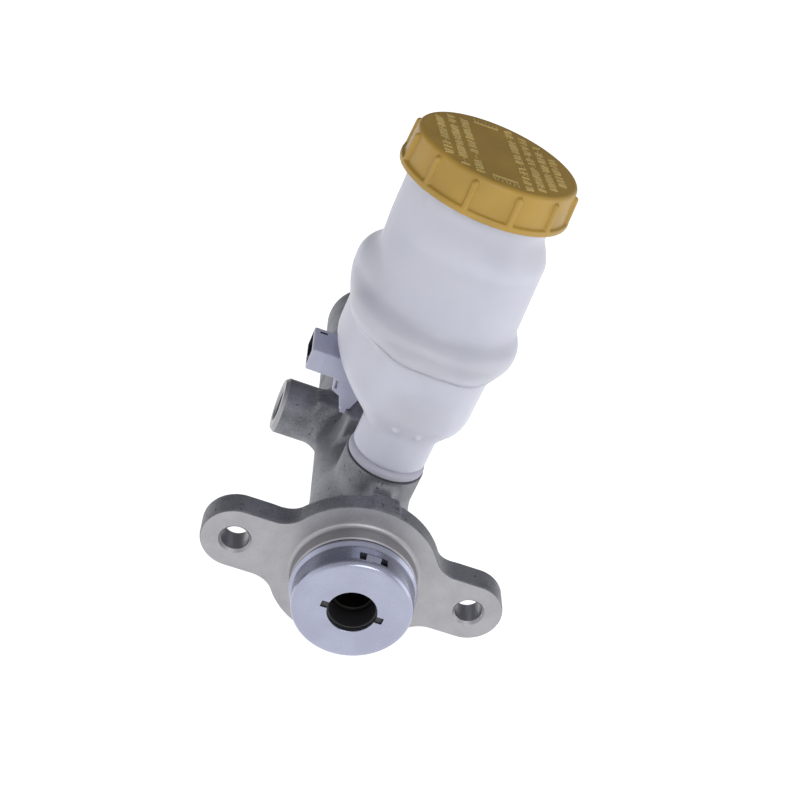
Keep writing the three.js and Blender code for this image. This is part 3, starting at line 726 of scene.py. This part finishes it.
def casting_cutters(sizes):
    """Everything that a drill, a boring bar or a facing tool takes off the casting."""
    pad, pad_y, fillet, spigot = PILOT["pad"], PILOT["pad_y"], PILOT["fillet"], PILOT["spigot"]
    boss = sizes.boss / MM
    back = cad("cylinder_body")[0].y
    hollow = []
    for step in range(9):
        angle = math.radians(180 - 90 * step / 8)
        hollow.append((pad + fillet + fillet * math.cos(angle), -fillet + fillet * math.sin(angle)))
    rear = [
        (60, -30), (0, -30), (0, back), (spigot - 0.6, back), (spigot, back + 0.6), (spigot, pad_y),
        (pad - 0.5, pad_y), (pad, pad_y + 0.5), *hollow, (60, 0),
    ]
    cutters = [turned("rear_facing", rear, "Y", (0, 0, 0), "machined", 0, 160)]
    bore_end = cad("secondary_spring")[1].y + 0.4
    bore = [
        (0, back - 1), (BORE + 1.6, back - 1), (BORE, back + 1.2), (BORE, bore_end), (0, bore_end + 3),
    ]
    cutters.append(turned("bore", bore, "Y", (0, 0, 0), "machined", 0, 128))
    for side in (-1, 1):
        stud = [(0, -1), (6.6, -1), (4.9, 0.7), (4.7, 0.9), (4.6, 9.4), (6, 11), (0, 11)]
        cutters.append(turned("stud_hole", stud, "Y", (side * EAR_X, 0, 0), "machined", 0, 72))
    for y in (REAR_INLET, FRONT_INLET):
        well = [(0, 15.5), (10.4, 15.5), (10.4, 26.8), (11.2, 27.6), (15.8, 27.6), (15.8, 34), (0, 34)]
        cutters.append(turned("inlet_well", well, "Z", (0, y, 0), "machined", 0, 96))
    cutters.append(turned("feed", rod(2.4, 6, 16), "Z", (0, REAR_INLET, 0), "machined", 0, 48))
    cutters.append(turned("front_feed", rod(2.4, 6, 16), "Z", (-5.2, 116.5, 0), "machined", 0, 48))
    pin = middle("piston_stop_pin")
    cutters.append(turned("pin_hole", rod(1.8, 6, 16), "Z", (pin.x, pin.y, 0), "machined", 0, 48))
    for y, side in ((REAR_PORT, -1), (FRONT_PORT, 1)):
        thread = []
        for pitch in range(16):
            start = PORT_FACE - 1.4 - pitch
            thread += [(5.5, start), (4.75, start - 0.5)]
        faced = [
            (0, PORT_FACE + 6), (30, PORT_FACE + 6), (30, PORT_FACE - 2.2),
            (boss + 0.6, PORT_FACE - 2.2), (boss - 1.1, PORT_FACE), (7, PORT_FACE),
            (6.2, PORT_FACE - 0.8), (0, PORT_FACE - 0.8),
        ]
        drilled = [
            (0, PORT_FACE - 0.6), (6, PORT_FACE - 0.6), *thread, (4.7, PORT_FACE - 17.4),
            (2, PORT_FACE - 20), (2, 8), (0, 8),
        ]
        for name, profile in (("port_face", faced), ("port_thread", drilled)):
            mirrored = [(radius, side * height) for radius, height in profile]
            cutters.append(turned(name, mirrored, "X", (0, y, 0), "machined", 0, 72))
    return cutters


class MCYL_OT_casting(Operator):
    """Cast body with its machined faces and bores"""

    bl_idname = "mcyl.casting"
    bl_label = "Casting"

    def build(self, values):
        low, high = cad("cylinder_body")
        space = Space(low - Vector((2, 4, 2)), high + Vector((2, 2, 2)), values.casting.grid)
        mesh = space.surface(cast_shape(space, values.casting), "casting")
        casting = as_object("casting", mesh, "cast", "machined", "threaded")
        cutters = casting_cutters(values.casting)
        threads = [each for each in cutters if "thread" in each.name]
        combine(casting, [each for each in cutters if each not in threads], "DIFFERENCE", 1)
        # The faces of the threads and drillings take the dark slot, which paints the shade inside the
        # ports.
        combine(casting, threads, "DIFFERENCE", 2)
        smooth(casting, 28)
        stands_for(casting, "cylinder_body")


# ---- parts in the casting -----------------------------------------------------------------------
class MCYL_OT_stopper(Operator):
    """Plated stopper cap with its window, and the black guide behind it"""

    bl_idname = "mcyl.stopper"
    bl_label = "Stopper cap and guide"

    def build(self, values):
        low, high = cad("stopper_cap")
        lip = high.x
        radius, wall, hole = lip - 1.3, 1.5, 8.2
        back, front = low.y, high.y
        profile = [
            (hole, back), (radius - 2.6, back), (radius - 1.1, back + 0.5), (radius - 0.3, back + 1.5),
            (radius, back + 3), (radius, front - 2.7), (lip, front - 1.2), (lip - 0.9, front),
            (radius - wall, front - 2.4), (radius - wall, back + 3.2),
            (radius - wall - 1.4, back + wall), (hole, back + wall),
        ]
        cap = turned("stopper_cap_shell", profile, "Y", (0, 0, 0), "plated", 0.5, 160)
        notch = block("notch", (-10.7, back - 1, -1.3), (10.7, back + wall + 1, 1.3), "plated", 0.3)
        window_low, window_high = (-4.9, back + 2.6, radius - 3), (4.7, back + 6, radius + 1)
        window = block("window", window_low, window_high, "plated", 0.25)
        combine(cap, [notch, window])
        centre = Matrix.Translation(Vector((0, back + 4.3, radius - 1.4)) * MM)
        tab = block("tab", (-2.6, -1.95, -0.6), (2.5, 1.95, 0.6), "plated", 0.35)
        tab.data.transform(centre @ Matrix.Rotation(math.radians(30), 4, "X"))
        stands_for(smooth(joined("stopper_cap_pressing", [cap, tab])), "stopper_cap")
        self.guide()

    def guide(self):
        low, high = cad("piston_guide")
        back, front = -16.6, high.y
        profile = [
            (7.2, front), (7.2, front - 2.4), (7.75, back), (9.2, back - 0.1), (high.x, back),
            (high.x, front),
        ]
        ring = turned("piston_guide_ring", profile, "Y", (0, 0, 0), "black", 0.35, 96)
        lugs = [
            block("guide_lug", (8.3, low.y, -1.1), (10.4, back + 0.6, 1.1), "black", 0.2),
            block("guide_lug", (-10.4, low.y, -1.1), (-8.3, back + 0.6, 1.1), "black", 0.2),
        ]
        stands_for(smooth(combine(ring, lugs, "UNION")), "piston_guide")


class MCYL_OT_inlet_seals(Operator):
    """Grey rubber grommets, brass flare seats and the piston stop pin"""

    bl_idname = "mcyl.inlet_seals"
    bl_label = "Seals and seats"

    def build(self, values):
        for end in ("rear", "front"):
            node = f"{end}_grommet"
            low, high = cad(node)
            flange = 27.9
            profile = [
                (7.55, low.z), (9.2, low.z), (10.1, low.z + 1.2), (10.1, low.z + 3), (9.7, low.z + 4.2),
                (10.1, low.z + 5.4), (10.1, flange), (high.x - 0.4, flange), (high.x, flange + 0.6),
                (high.x, high.z - 1.1), (high.x - 1, high.z - 0.25), (12.4, high.z), (7.55, high.z),
            ]
            centre = (0, middle(node).y, 0)
            turned_piece(node, f"{node}_seal", profile, "Z", centre, "grommet", 0.45, degrees=40)
            self.seat(f"{end}_port_seat")
        low, high = cad("piston_stop_pin")
        centre = middle("piston_stop_pin")
        pin = [(0, low.z), (1.7, low.z), (1.7, 15.6), (high.x, 15.6), (high.x, high.z), (0, high.z)]
        place = (centre.x, centre.y, 0)
        turned_piece("piston_stop_pin", "stop_pin", pin, "Z", place, "steel", 0.3, 48)

    def seat(self, node):
        low, high = cad(node)
        side = -1 if low.x < 0 else 1
        start = min(abs(low.x), abs(high.x))
        end = max(abs(low.x), abs(high.x))
        profile = [(1.3, start), (4.6, start), (4.6, start + 3), (2.8, end), (1.3, end)]
        mirrored = [(radius, side * height) for radius, height in profile]
        turned_piece(node, f"{node}_cone", mirrored, "X", (0, middle(node).y, 0), "brass", 0.2, 64)


# ---- pistons ------------------------------------------------------------------------------------
class MCYL_OT_pistons(Operator):
    """Both pistons with their cups, the cage between them and the return springs"""

    bl_idname = "mcyl.pistons"
    bl_label = "Pistons and springs"

    def build(self, values):
        back, end = (corner.y for corner in cad("primary_piston"))
        primary = [
            (0, 22), (6.2, 18), (6.2, back), (LAND, back), (LAND, -1.5), (9, -1.5), (9, 4.5),
            (LAND, 4.5), (LAND, 7), (8, 10), (8, 35), (LAND, 38), (LAND, 43), (7, 43), (7, end),
            (0, end),
        ]
        name = "primary_piston_turned"
        # The pistons' near-black finish paints the shade inside the guide and the bore.
        turned_piece("primary_piston", name, primary, "Y", (0, 0, 0), "piston_painted_shade", 0.5)
        back, end = (corner.y for corner in cad("secondary_piston"))
        secondary = [
            (0, 103.5), (5.6, 101.5), (5.6, back), (LAND, back), (LAND, 95.3), (9, 95.3), (9, 101.1),
            (LAND, 101.1), (LAND, 102.6), (8, 102.6), (8, 121), (LAND, 121), (LAND, 125), (7, 125),
            (7, end), (0, end),
        ]
        piston = turned("secondary_piston_turned", secondary, "Y", (0, 0, 0), "piston_painted_shade", 0.4)
        slot = block("slot", (-2.2, 103.8, 3), (2.2, 120.6, 14), "piston_painted_shade", 0.4)
        stands_for(smooth(combine(piston, [slot])), "secondary_piston")
        for circuit in ("primary", "secondary"):
            self.cup(f"{circuit}_rear_cup", 9)
            self.cup(f"{circuit}_cup", 7)
        self.cage()
        low, high = cad("primary_spring")
        spring = coil("primary_spring_coil", 9.4, 1.1, low.y, high.y, 6.5)
        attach(spring, BODY_OF["secondary_piston"])
        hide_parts("primary_spring")
        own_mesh(spring)
        low, high = cad("secondary_spring")
        spring = coil("secondary_spring_coil", 9.6, 1.1, low.y, high.y, 6.5)
        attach(spring, "body")
        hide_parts("secondary_spring")
        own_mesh(spring)

    def cup(self, node, seat):
        low, high = cad(node)
        lip = high.x
        profile = [
            (seat + 0.1, low.y), (lip - 0.7, low.y), (lip - 0.5, low.y + 1.6), (lip, high.y),
            (lip - 1.3, high.y), ((seat + lip) / 2, low.y + 1.9), (seat + 1.2, high.y),
            (seat + 0.1, high.y),
        ]
        name = f"{node}_lip"
        turned_piece(node, name, profile, "Y", (0, 0, 0), "black_rubber", 0.3, degrees=50)

    def cage(self):
        low, high = cad("cage_screw")
        screw = [
            (0, low.y), (4.4, low.y), (4.4, low.y + 1.4), (2, low.y + 1.4), (2, high.y - 3),
            (4.4, high.y - 3), (4.4, high.y - 0.8), (3.6, high.y), (0, high.y),
        ]
        turned_piece("cage_screw", "cage_screw_turned", screw, "Y", (0, 0, 0), "steel", 0.25, 64)
        low, high = cad("cage_tube")
        sleeve = [
            (2.5, low.y), (6.6, low.y), (6.6, high.y - 1.4), (high.x, high.y - 1.4), (high.x, high.y),
            (5.2, high.y), (5.2, low.y + 1.6), (2.5, low.y + 1.6),
        ]
        turned_piece("cage_tube", "cage_tube_drawn", sleeve, "Y", (0, 0, 0), "steel", 0.5, 64)


def coil(name, radius, wire, start, end, turns, sides=10, per_turn=40):
    """A compression spring along Y whose end turns lie flat."""
    bm = bmesh.new()
    count = int((turns + 1.5) * per_turn)
    rings = []
    for i in range(count + 1):
        t = i / count
        rise = min(max((t - 0.09) / 0.82, 0), 1)
        y = start + wire + (end - start - 2 * wire) * (rise * 0.94 + t * 0.06)
        angle = TURN * (turns + 1.5) * t
        out = Vector((math.cos(angle), 0, math.sin(angle)))
        centre = out * radius + Vector((0, y, 0))
        ring = []
        for k in range(sides):
            around = TURN * k / sides
            lift = Vector((0, wire * math.sin(around), 0))
            ring.append(bm.verts.new(centre + out * wire * math.cos(around) + lift))
        rings.append(ring)
    for ring, following in zip(rings, rings[1:]):
        for k in range(sides):
            n = (k + 1) % sides
            bm.faces.new((ring[k], ring[n], following[n], following[k]))
    bm.faces.new(rings[0])
    bm.faces.new(rings[-1][::-1])
    bm.transform(Matrix.Scale(MM, 4))
    return smooth(as_object(name, mesh_from(bm, name), "steel"), 50)


# ---- reservoir ----------------------------------------------------------------------------------
BOWL_FLOOR = 44
BOWL_ROOF = 75
MOUTH = middle("cap_seal")
NECK_AXIS = (MOUTH.x, MOUTH.y, 0)
TOWER_X = -0.9
TOWER_Y = 51
SHOULDER_TOP = 104
NECK_TOP = cad("reservoir_upper")[1].z


def bowl_outline():
    """The bowl in plan: narrow round the rear neck, widest by the float, narrow again in front."""
    right = [(13, 21.8), (20.5, 33), (24, 72), (16, 108), (11.2, 123)]
    left = [(-11.2, 123), (-16, 108), (-28, 72), (-20.5, 33), (-13, 21.8)]
    return smooth_loop([(0, 19.6), *right, (0, 128), *left])


def tower_shape(space, sizes):
    """The tower leans forward up to its shoulder, and then stands upright as the filler neck."""
    z = space.z
    lean = np.clip((z - BOWL_ROOF) / (SHOULDER_TOP - BOWL_ROOF), -0.2, 1)
    shoulder = ramp(z, 106, 118)
    radius = sizes.foot / MM + (sizes.shoulder - sizes.foot) / MM * lean
    radius = radius + (sizes.neck / MM - radius) * shoulder
    centre_x = TOWER_X + (MOUTH.x - TOWER_X) * shoulder
    centre_y = TOWER_Y + (MOUTH.y - TOWER_Y) * lean
    dx, dy = space.x - centre_x, space.y - centre_y
    pitch = 4.07
    turn = np.arctan2(dy, dx) / TURN
    ridge = np.clip(1.6 * np.cos(TURN * (z / pitch - turn)) - 0.5, 0, 1)
    thread = 0.7 * ridge * (ramp(z, 122, 123.5) - ramp(z, 127, 128.5))
    return bar(np.hypot(dx, dy) - radius - thread, z, 70, NECK_TOP, 0.7)


def reservoir_shape(space, sizes):
    outline = outline_distance(bowl_outline(), space.x[:, :, 0], space.y[0, :, 0][None, :])[:, :, None]
    bowl = bar(outline, space.z, BOWL_FLOOR, 140, sizes.belly_edge / MM)
    roof = bar(outline, space.z, -60, BOWL_ROOF, 3)
    bowl = np.maximum(bowl, roof)
    rim = space.rod("Z", (TOWER_X, TOWER_Y), sizes.rim / MM, 71.5, 79.5, 3.2)
    lobe = space.rod("Z", (-9.5, 62), 23.5, 72, 93, 9)
    tower = tower_shape(space, sizes)
    upper = blend(blend(tower, lobe, 4), rim, 5)
    body = blend(upper, bowl, 2)
    for y in (REAR_INLET, FRONT_INLET):
        stem = space.rod("Z", (0, y), 13.4, 31.5, 60, 0.8)
        groove = space.rod("Z", (0, y), 12.4, 30.9, 34, 0.3)
        spout = space.rod("Z", (0, y), 7.4, 18, 40, 0.4)
        body = blend(body, stem, 3.2)
        body = np.minimum(np.minimum(body, groove), spout)
    for x in (-4.2, 3.7):
        body = blend(body, space.ball((x, 20.2, 47.6), 0.9), 0.6)
    return body


class MCYL_OT_reservoir(Operator):
    """Milky reservoir in two halves, hollow and open at the filler neck and the two stems"""

    bl_idname = "mcyl.reservoir"
    bl_label = "Reservoir"

    def build(self, values):
        sizes = values.reservoir
        space = Space((-36, 16, 16), (34, 132, NECK_TOP + 2), sizes.grid)
        outer = reservoir_shape(space, sizes)
        inner = outer + sizes.wall / MM
        hollow = np.minimum(inner, space.rod("Z", (MOUTH.x, MOUTH.y), sizes.mouth / MM, 108, 140, 0))
        for y in (REAR_INLET, FRONT_INLET):
            hollow = np.minimum(hollow, space.rod("Z", (0, y), 5.2, 10, 60, 0))
        shell = carve(outer, hollow, 0.5)
        seam = cad("reservoir_upper")[0].z
        post_top = cad("reed_switch")[1].z + 1
        post_centre = (middle("reed_switch").x, middle("reed_switch").y)
        post = space.rod("Z", post_centre, 4.6, BOWL_FLOOR + 0.5, 72, 0.5)
        inside = outer + 1
        baffle = np.maximum(space.brick((-40, 88, 45), (40, 90, 60), 0.2), inside)
        lower = np.minimum(np.minimum(np.maximum(shell, space.z - seam), post), baffle)
        lower = carve(lower, space.rod("Z", post_centre, 2.6, 30, post_top, 0.2))
        upper = np.maximum(shell, seam - space.z)
        for half, node in ((lower, "reservoir_lower"), (upper, "reservoir_upper")):
            name = f"{node}_moulding"
            moulding = as_object(name, space.surface(half, name), "milky")
            stands_for(smooth(moulding, 40), node)


# ---- filler cap ---------------------------------------------------------------------------------
def cap_shape(space, sizes):
    low, high = cad("filler_cap")
    radius, top, wall = sizes.radius / MM, sizes.top / MM, sizes.wall / MM
    dx, dy = space.x - MOUTH.x, space.y - MOUTH.y
    ring = np.hypot(dx, dy)
    height = (space.z - low.z) / (high.z - low.z)
    side = ring - (radius - 1.1) - (top - radius + 1.1) * np.clip(height, 0, 1)
    shell = bar(side, space.z, low.z, high.z - 0.45, 1.5)
    band = bar(ring - radius, space.z, low.z, low.z + 2.3, 0.7)
    shell = blend(shell, band, 0.7)
    angle = np.arctan2(dy, dx) - sizes.first_rib
    sector = TURN / sizes.ribs
    offset = angle - sector * np.round(angle / sector)
    across, out = ring * np.sin(offset), ring * np.cos(offset)
    foot, head = low.z + 1, high.z - 3.2
    along = np.clip((space.z - foot) / (head - foot), 0, 1)
    reach = np.hypot(across, out - (radius - sizes.rib / MM - 0.5 * along))
    rib = np.hypot(reach, np.maximum(space.z - head, 0) + np.maximum(foot - space.z, 0)) - sizes.rib / MM
    shell = blend(shell, rib, 0.3)
    inner = ring - (radius - wall - 0.4) + 1.4 * np.clip(height, 0, 1)
    return carve(shell, bar(inner, space.z, low.z - 4, high.z - wall - 0.4, 0.8), 0.4)


def raised_marks(top):
    """Rows of short raised strokes that stand for the moulded notes on the cap; they spell nothing."""
    random = np.random.default_rng(7)
    marks = []
    rows = [(-20, 15), (-15.2, 20), (-10.4, 22), (6.2, 24), (11, 21), (15.8, 17), (20.2, 11)]
    tilt = Matrix.Rotation(math.radians(5.7), 4, "Z")
    for x, half in rows:
        y = -half
        while y < half - 1:
            advance = random.choice([0.95, 1.25, 1.6])
            slant = random.choice([-24, 0, 0, 18, 90])
            marks.append(stroke(x, y, 3.1 if slant != 90 else 0.9, slant, top, tilt))
            if random.random() < 0.4:
                marks.append(stroke(x + random.choice([-1.2, 1.2]), y + 0.45, 0.9, 90, top, tilt))
            y += advance
            if random.random() < 0.14:
                y += 1.3
    for y in (-21.5, 20.5):
        marks.append(stroke(-2, y, 9, 0, top, tilt))
        for step in range(7):
            slant = (20, -20, 0)[step % 3]
            marks.append(stroke(-6 + step * 1.35, y + math.copysign(2, y), 1.9, slant + 90, top, tilt))
    return marks


def stroke(x, y, long, degrees, top, tilt):
    turn = Matrix.Rotation(math.radians(degrees), 4, "Z")
    bm = bmesh.new()
    bmesh.ops.create_cube(bm, size=1)
    bm.transform(Matrix.Diagonal((long, 0.5, 0.62, 1)))
    bmesh.ops.bevel(bm, geom=bm.edges[:], offset=0.14, segments=2, affect="EDGES")
    place = Matrix.Translation((MOUTH.x, MOUTH.y, top)) @ tilt @ Matrix.Translation((x, y, 0)) @ turn
    bm.transform(Matrix.Scale(MM, 4) @ place)
    for face in bm.faces:
        face.material_index = 1
    return as_object("mark", mesh_from(bm, "mark"), "ochre", "marks")


class MCYL_OT_cap(Operator):
    """Ribbed filler cap with its seal, its diaphragm and the strainer below"""

    bl_idname = "mcyl.cap"
    bl_label = "Filler cap"

    def build(self, values):
        sizes = values.cap
        low, high = cad("filler_cap")
        margin = Vector((1.5, 1.5, 1.5))
        space = Space(low - margin, high + margin, sizes.grid)
        mesh = space.surface(cap_shape(space, sizes), "cap")
        shell = as_object("filler_cap_shell", mesh, "ochre", "marks")
        cap = joined("filler_cap_moulding", [shell, *raised_marks(high.z - 0.4)])
        stands_for(smooth(cap, 40), "filler_cap")
        low, high = cad("cap_seal")
        seal = tube(21.8, 25.2, low.z, high.z)
        turned_piece("cap_seal", "cap_seal_washer", seal, "Z", NECK_AXIS, "black_rubber", 0.5)
        low, high = cad("cap_diaphragm")
        rim = high.z - 1.6
        cup = [
            (0, low.z), (14.8, low.z), (19.2, low.z + 5), (19.2, low.z + 7), (18.8, low.z + 8),
            (19.2, low.z + 9), (19.2, rim), (25.2, rim), (25.2, high.z), (17.8, high.z),
            (17.8, low.z + 6), (14.4, low.z + 1.6), (0, low.z + 1.6),
        ]
        turned_piece(
            "cap_diaphragm", "cap_diaphragm_cup", cup, "Z", NECK_AXIS, "black_rubber", 0.6, degrees=40
        )
        self.strainer()

    def strainer(self):
        low, high = cad("strainer")
        radius = (high.x - low.x) / 2
        basket = [
            (7, low.z), (radius - 4, low.z), (radius, low.z + 5), (radius, high.z),
            (radius - 1.4, high.z), (radius - 1.4, low.z + 5.6), (radius - 4.6, low.z + 1.4),
            (7, low.z + 1.4),
        ]
        shell = turned("strainer_basket", basket, "Z", NECK_AXIS, "switch", 0.3)
        pane_low, pane_high = (radius - 4, -4, low.z + 5.6), (radius + 4, 4, low.z + 16.6)
        panes = []
        for index in range(8):
            pane = block("pane", pane_low, pane_high, "switch", 0.5)
            pane.data.transform(Matrix.Rotation(index * TURN / 8, 4, "Z"))
            pane.data.transform(Matrix.Translation(Vector(NECK_AXIS) * MM))
            panes.append(pane)
        stands_for(smooth(combine(shell, panes)), "strainer")


# ---- level switch -------------------------------------------------------------------------------
def prism(name, outline, start, end, finish_name, edge=0.5):
    """A closed outline in X and Z, in millimetres, pushed along Y, with rounded edges."""
    bm = bmesh.new()
    near = [bm.verts.new((x, start, z)) for x, z in outline]
    face = bm.faces.new(near)
    pushed = bmesh.ops.extrude_face_region(bm, geom=[face])
    moved = [item for item in pushed["geom"] if isinstance(item, bmesh.types.BMVert)]
    bmesh.ops.translate(bm, verts=moved, vec=(0, end - start, 0))
    bmesh.ops.recalc_face_normals(bm, faces=bm.faces)
    bmesh.ops.bevel(bm, geom=bm.edges[:], offset=edge, segments=3, profile=0.6, affect="EDGES")
    bm.transform(Matrix.Scale(MM, 4))
    return as_object(name, mesh_from(bm, name), finish_name)


class MCYL_OT_level_switch(Operator):
    """Connector housing with its leg, the blades, the reed switch, the pin and the float"""

    bl_idname = "mcyl.level_switch"
    bl_label = "Level switch"

    def build(self, values):
        low, high = cad("level_switch_housing")
        near, far = 61, 78
        floor, top = 35, high.z
        body = block("housing", (low.x, near, floor), (high.x, far, top), "switch", 0.9)
        # The second slot is black: painted shade for the inside of the socket and the latch slot.
        body.data.materials.append(finish("black"))
        collar = block(
            "collar", (low.x + 4.4, near - 0.02, floor + 0.02), (low.x + 6, far + 0.02, top),
            "switch", 0.6,
        )
        tongue = prism("tongue", [
            (-23, floor + 0.5), (-22, 30), (-18.7, 28.5), (-17.2, 24.5), (-13.3, 24.5), (-11.6, 29.5),
            (-11.6, floor + 0.5),
        ], near + 0.5, near + 2.7, "switch", 0.4)
        cheek = block("cheek", (-16, near + 1.5, low.z), (-14, 69.5, floor + 1), "switch", 0.3)
        combine(body, [collar, tongue, cheek], "UNION")
        pin = middle("reservoir_pin")
        slot = [(-21.9, floor - 0.6), (-21.4, 31), (-20.5, 31), (-21, floor - 0.6)]
        room = block(
            "socket", (low.x - 2, near + 1.3, floor + 1.3), (low.x + 12, far - 1.3, top - 1.3),
            "black", 0.7,
        )
        latch = block(
            "latch", (low.x + 2.1, near + 13.4, top - 3), (low.x + 5, near + 14.6, top + 1),
            "black", 0.2,
        )
        # The inner faces of the socket and the latch slot take the black slot, which paints the shade
        # inside the connector.
        combine(body, [room, latch], "DIFFERENCE", 1)
        cuts = [
            block(
                "key", (low.x - 2, near + 5.5, floor + 0.6), (low.x + 9, near + 7.5, floor + 3),
                "switch", 0.2,
            ),
            prism("hook_slot", slot, near - 1, near + 4, "switch", 0.1),
            turned("notch", rod(1.8, -18, -12), "X", (0, pin.y, pin.z), "switch", 0, 48),
            turned("reed_well", rod(2.6, floor + 2, top + 2), "Z", (-9, 69.5, 0), "switch", 0, 48),
        ]
        for node in ("switch_terminal_1", "switch_terminal_2"):
            blade_low, blade_high = cad(node)
            gap = Vector((0.2, 0.2, 0.2))
            start = Vector((low.x + 11, blade_low.y, blade_low.z)) - gap
            cuts.append(block("slit", start, blade_high + gap, "switch", 0.1))
            blade = block(f"{node}_blade", blade_low, blade_high, "brass", 0.25)
            stands_for(smooth(blade), node)
        combine(body, cuts)
        body.name = "level_switch_moulding"
        stands_for(smooth(body), "level_switch_housing")
        self.sensing()

    def sensing(self):
        low, high = cad("reed_switch")
        post = (middle("reed_switch").x, middle("reed_switch").y, 0)
        reed = [(0, low.z), (2.2, low.z), (2.2, high.z - 2), (1.2, high.z), (0, high.z)]
        turned_piece("reed_switch", "reed_switch_tube", reed, "Z", post, "plated", 0.3, 48)
        low, high = cad("float")
        radius = (high.x - low.x) / 2
        ring = [
            (7.8, low.z), (radius - 1, low.z), (radius, low.z + 1), (radius, high.z - 1),
            (radius - 1, high.z), (5.4, high.z), (5.4, low.z + 3.2), (7.8, low.z + 3.2),
        ]
        turned_piece("float", "float_ring", ring, "Z", post, "foam", 0.5)
        low, high = cad("float_magnet")
        magnet = tube(5.4, 7.6, low.z, high.z)
        turned_piece("float_magnet", "float_magnet_ring", magnet, "Z", post, "magnet", 0.3)
        low, high = cad("reservoir_pin")
        pin = [
            (0, low.x), (1.1, low.x), (1.5, low.x + 0.5), (1.5, high.x - 0.5), (1.1, high.x),
            (0, high.x),
        ]
        centre = middle("reservoir_pin")
        place = (0, centre.y, centre.z)
        turned_piece("reservoir_pin", "reservoir_pin_turned", pin, "X", place, "plated", 0.15, 48)


# ---- stage --------------------------------------------------------------------------------------
CAMERA_ANGLES = (-12.88, 29.34, 25.32)
CAMERA_PLACE = (-92.9, -355.5, 275.7)
CAMERA_LENS = 60.87


class MCYL_OT_stage(Operator):
    """Pale floor, soft studio lights and the camera"""

    bl_idname = "mcyl.stage"
    bl_label = "Stage"

    def build(self, values):
        bpy.context.scene.view_settings.view_transform = "Standard"
        self.floor(values.colours.floor)
        self.walls()
        target = Vector((0, 60, 40)) * MM
        self.panel("near_panel", (60, -720, 500), target, 0.4, 1.7)
        self.panel("side_panel", (700, -120, 260), target, 0.5, 0.8)
        self.camera()

    def walls(self):
        """Bright walls low down, a dimmer ceiling and one dark wall, high up beyond the far end."""
        world = bpy.data.worlds.new("studio")
        world.use_nodes = True
        bpy.context.scene.world = world
        sky = Tree(world.node_tree, "Generated")
        high = sky.axis(2).above(0.05, 0.6)
        wall = (sky.axis(0) * -0.25 + sky.axis(1) * 0.83 + sky.axis(2) * 0.49).above(0.3, 0.85)
        light = sky.mix(high, (1, 1, 1, 1), (0.58, 0.58, 0.59, 1))
        light = sky.mix(wall, light, (0.15, 0.15, 0.165, 1))
        sky.feed(world.node_tree.nodes["Background"].inputs["Color"], light)

    def floor(self, rgba):
        shader = Shader("studio_floor", Roughness=0.9, Specular_IOR_Level=0.1, Emission_Strength=1.0)
        shader.set("Emission Color", (1, 1, 1, 1))
        drift = shader.noise(0.6, 2, 0.5)
        shader.set("Base Color", shader.mix(drift, shade(rgba, 0.995), shade(rgba, 1.005)))
        bm = bmesh.new()
        bmesh.ops.create_grid(bm, x_segments=24, y_segments=24, size=3)
        bmesh.ops.translate(bm, verts=bm.verts, vec=(0, 0, CAD_BOX[0][2] - 0.3 * MM))
        mesh = mesh_from(bm, "floor")
        mesh.materials.append(shader.material)
        made = bpy.data.objects.new("floor", mesh)
        bpy.context.scene.collection.objects.link(made)

    def panel(self, name, place, target, size, watts):
        light = bpy.data.lights.new(name, "AREA")
        light.size = size
        light.energy = watts
        made = bpy.data.objects.new(name, light)
        made.location = Vector(place) * MM
        made.rotation_euler = (target - made.location).to_track_quat("-Z", "Y").to_euler()
        bpy.context.scene.collection.objects.link(made)

    def camera(self):
        azimuth, elevation, roll = (math.radians(angle) for angle in CAMERA_ANGLES)
        back = Vector((
            math.sin(azimuth) * math.cos(elevation),
            -math.cos(azimuth) * math.cos(elevation),
            math.sin(elevation),
        ))
        right = Vector((math.cos(azimuth), math.sin(azimuth), 0))
        up = back.cross(right)
        tilted_x = right * math.cos(roll) + up * math.sin(roll)
        tilted_y = up * math.cos(roll) - right * math.sin(roll)
        lens = bpy.data.cameras.new("camera")
        lens.lens = CAMERA_LENS
        lens.sensor_width = 36
        lens.clip_start = 0.01
        made = bpy.data.objects.new("camera", lens)
        made.matrix_world = Matrix((tilted_x, tilted_y, back)).transposed().to_4x4()
        made.location = Vector(CAMERA_PLACE) * MM
        bpy.context.scene.collection.objects.link(made)
        bpy.context.scene.camera = made


STEPS = (
    MCYL_OT_stage, MCYL_OT_casting, MCYL_OT_stopper, MCYL_OT_inlet_seals, MCYL_OT_pistons,
    MCYL_OT_reservoir, MCYL_OT_cap, MCYL_OT_level_switch,
)


class MCYL_PT_panel(bpy.types.Panel):
    """Buttons and values of the master cylinder"""

    bl_idname = "MCYL_PT_panel"
    bl_label = "Master cylinder"
    bl_space_type = "VIEW_3D"
    bl_region_type = "UI"
    bl_category = "Master cylinder"

    def draw(self, context):
        for step in STEPS:
            self.layout.operator(step.bl_idname)
        values = context.scene.master_cylinder
        for group in (values.casting, values.reservoir, values.cap, values.colours):
            column = self.layout.column(align=True)
            for name in group.bl_rna.properties.keys():
                if name not in {"rna_type", "name"}:
                    column.prop(group, name)


GROUPS = (CastingSizes, ReservoirSizes, CapSizes, FinishColours, MasterCylinderSettings)


def register():
    for each in (*GROUPS, *STEPS, MCYL_PT_panel):
        bpy.utils.register_class(each)
    bpy.types.Scene.master_cylinder = bpy.props.PointerProperty(type=MasterCylinderSettings)


def unregister():
    del bpy.types.Scene.master_cylinder
    for each in reversed((*GROUPS, *STEPS, MCYL_PT_panel)):
        bpy.utils.unregister_class(each)


def main():
    register()
    bpy.ops.mcyl.stage()
    bpy.ops.mcyl.casting()
    bpy.ops.mcyl.stopper()
    bpy.ops.mcyl.inlet_seals()
    bpy.ops.mcyl.pistons()
    bpy.ops.mcyl.reservoir()
    bpy.ops.mcyl.cap()
    bpy.ops.mcyl.level_switch()


if __name__ == "__main__":
    main()
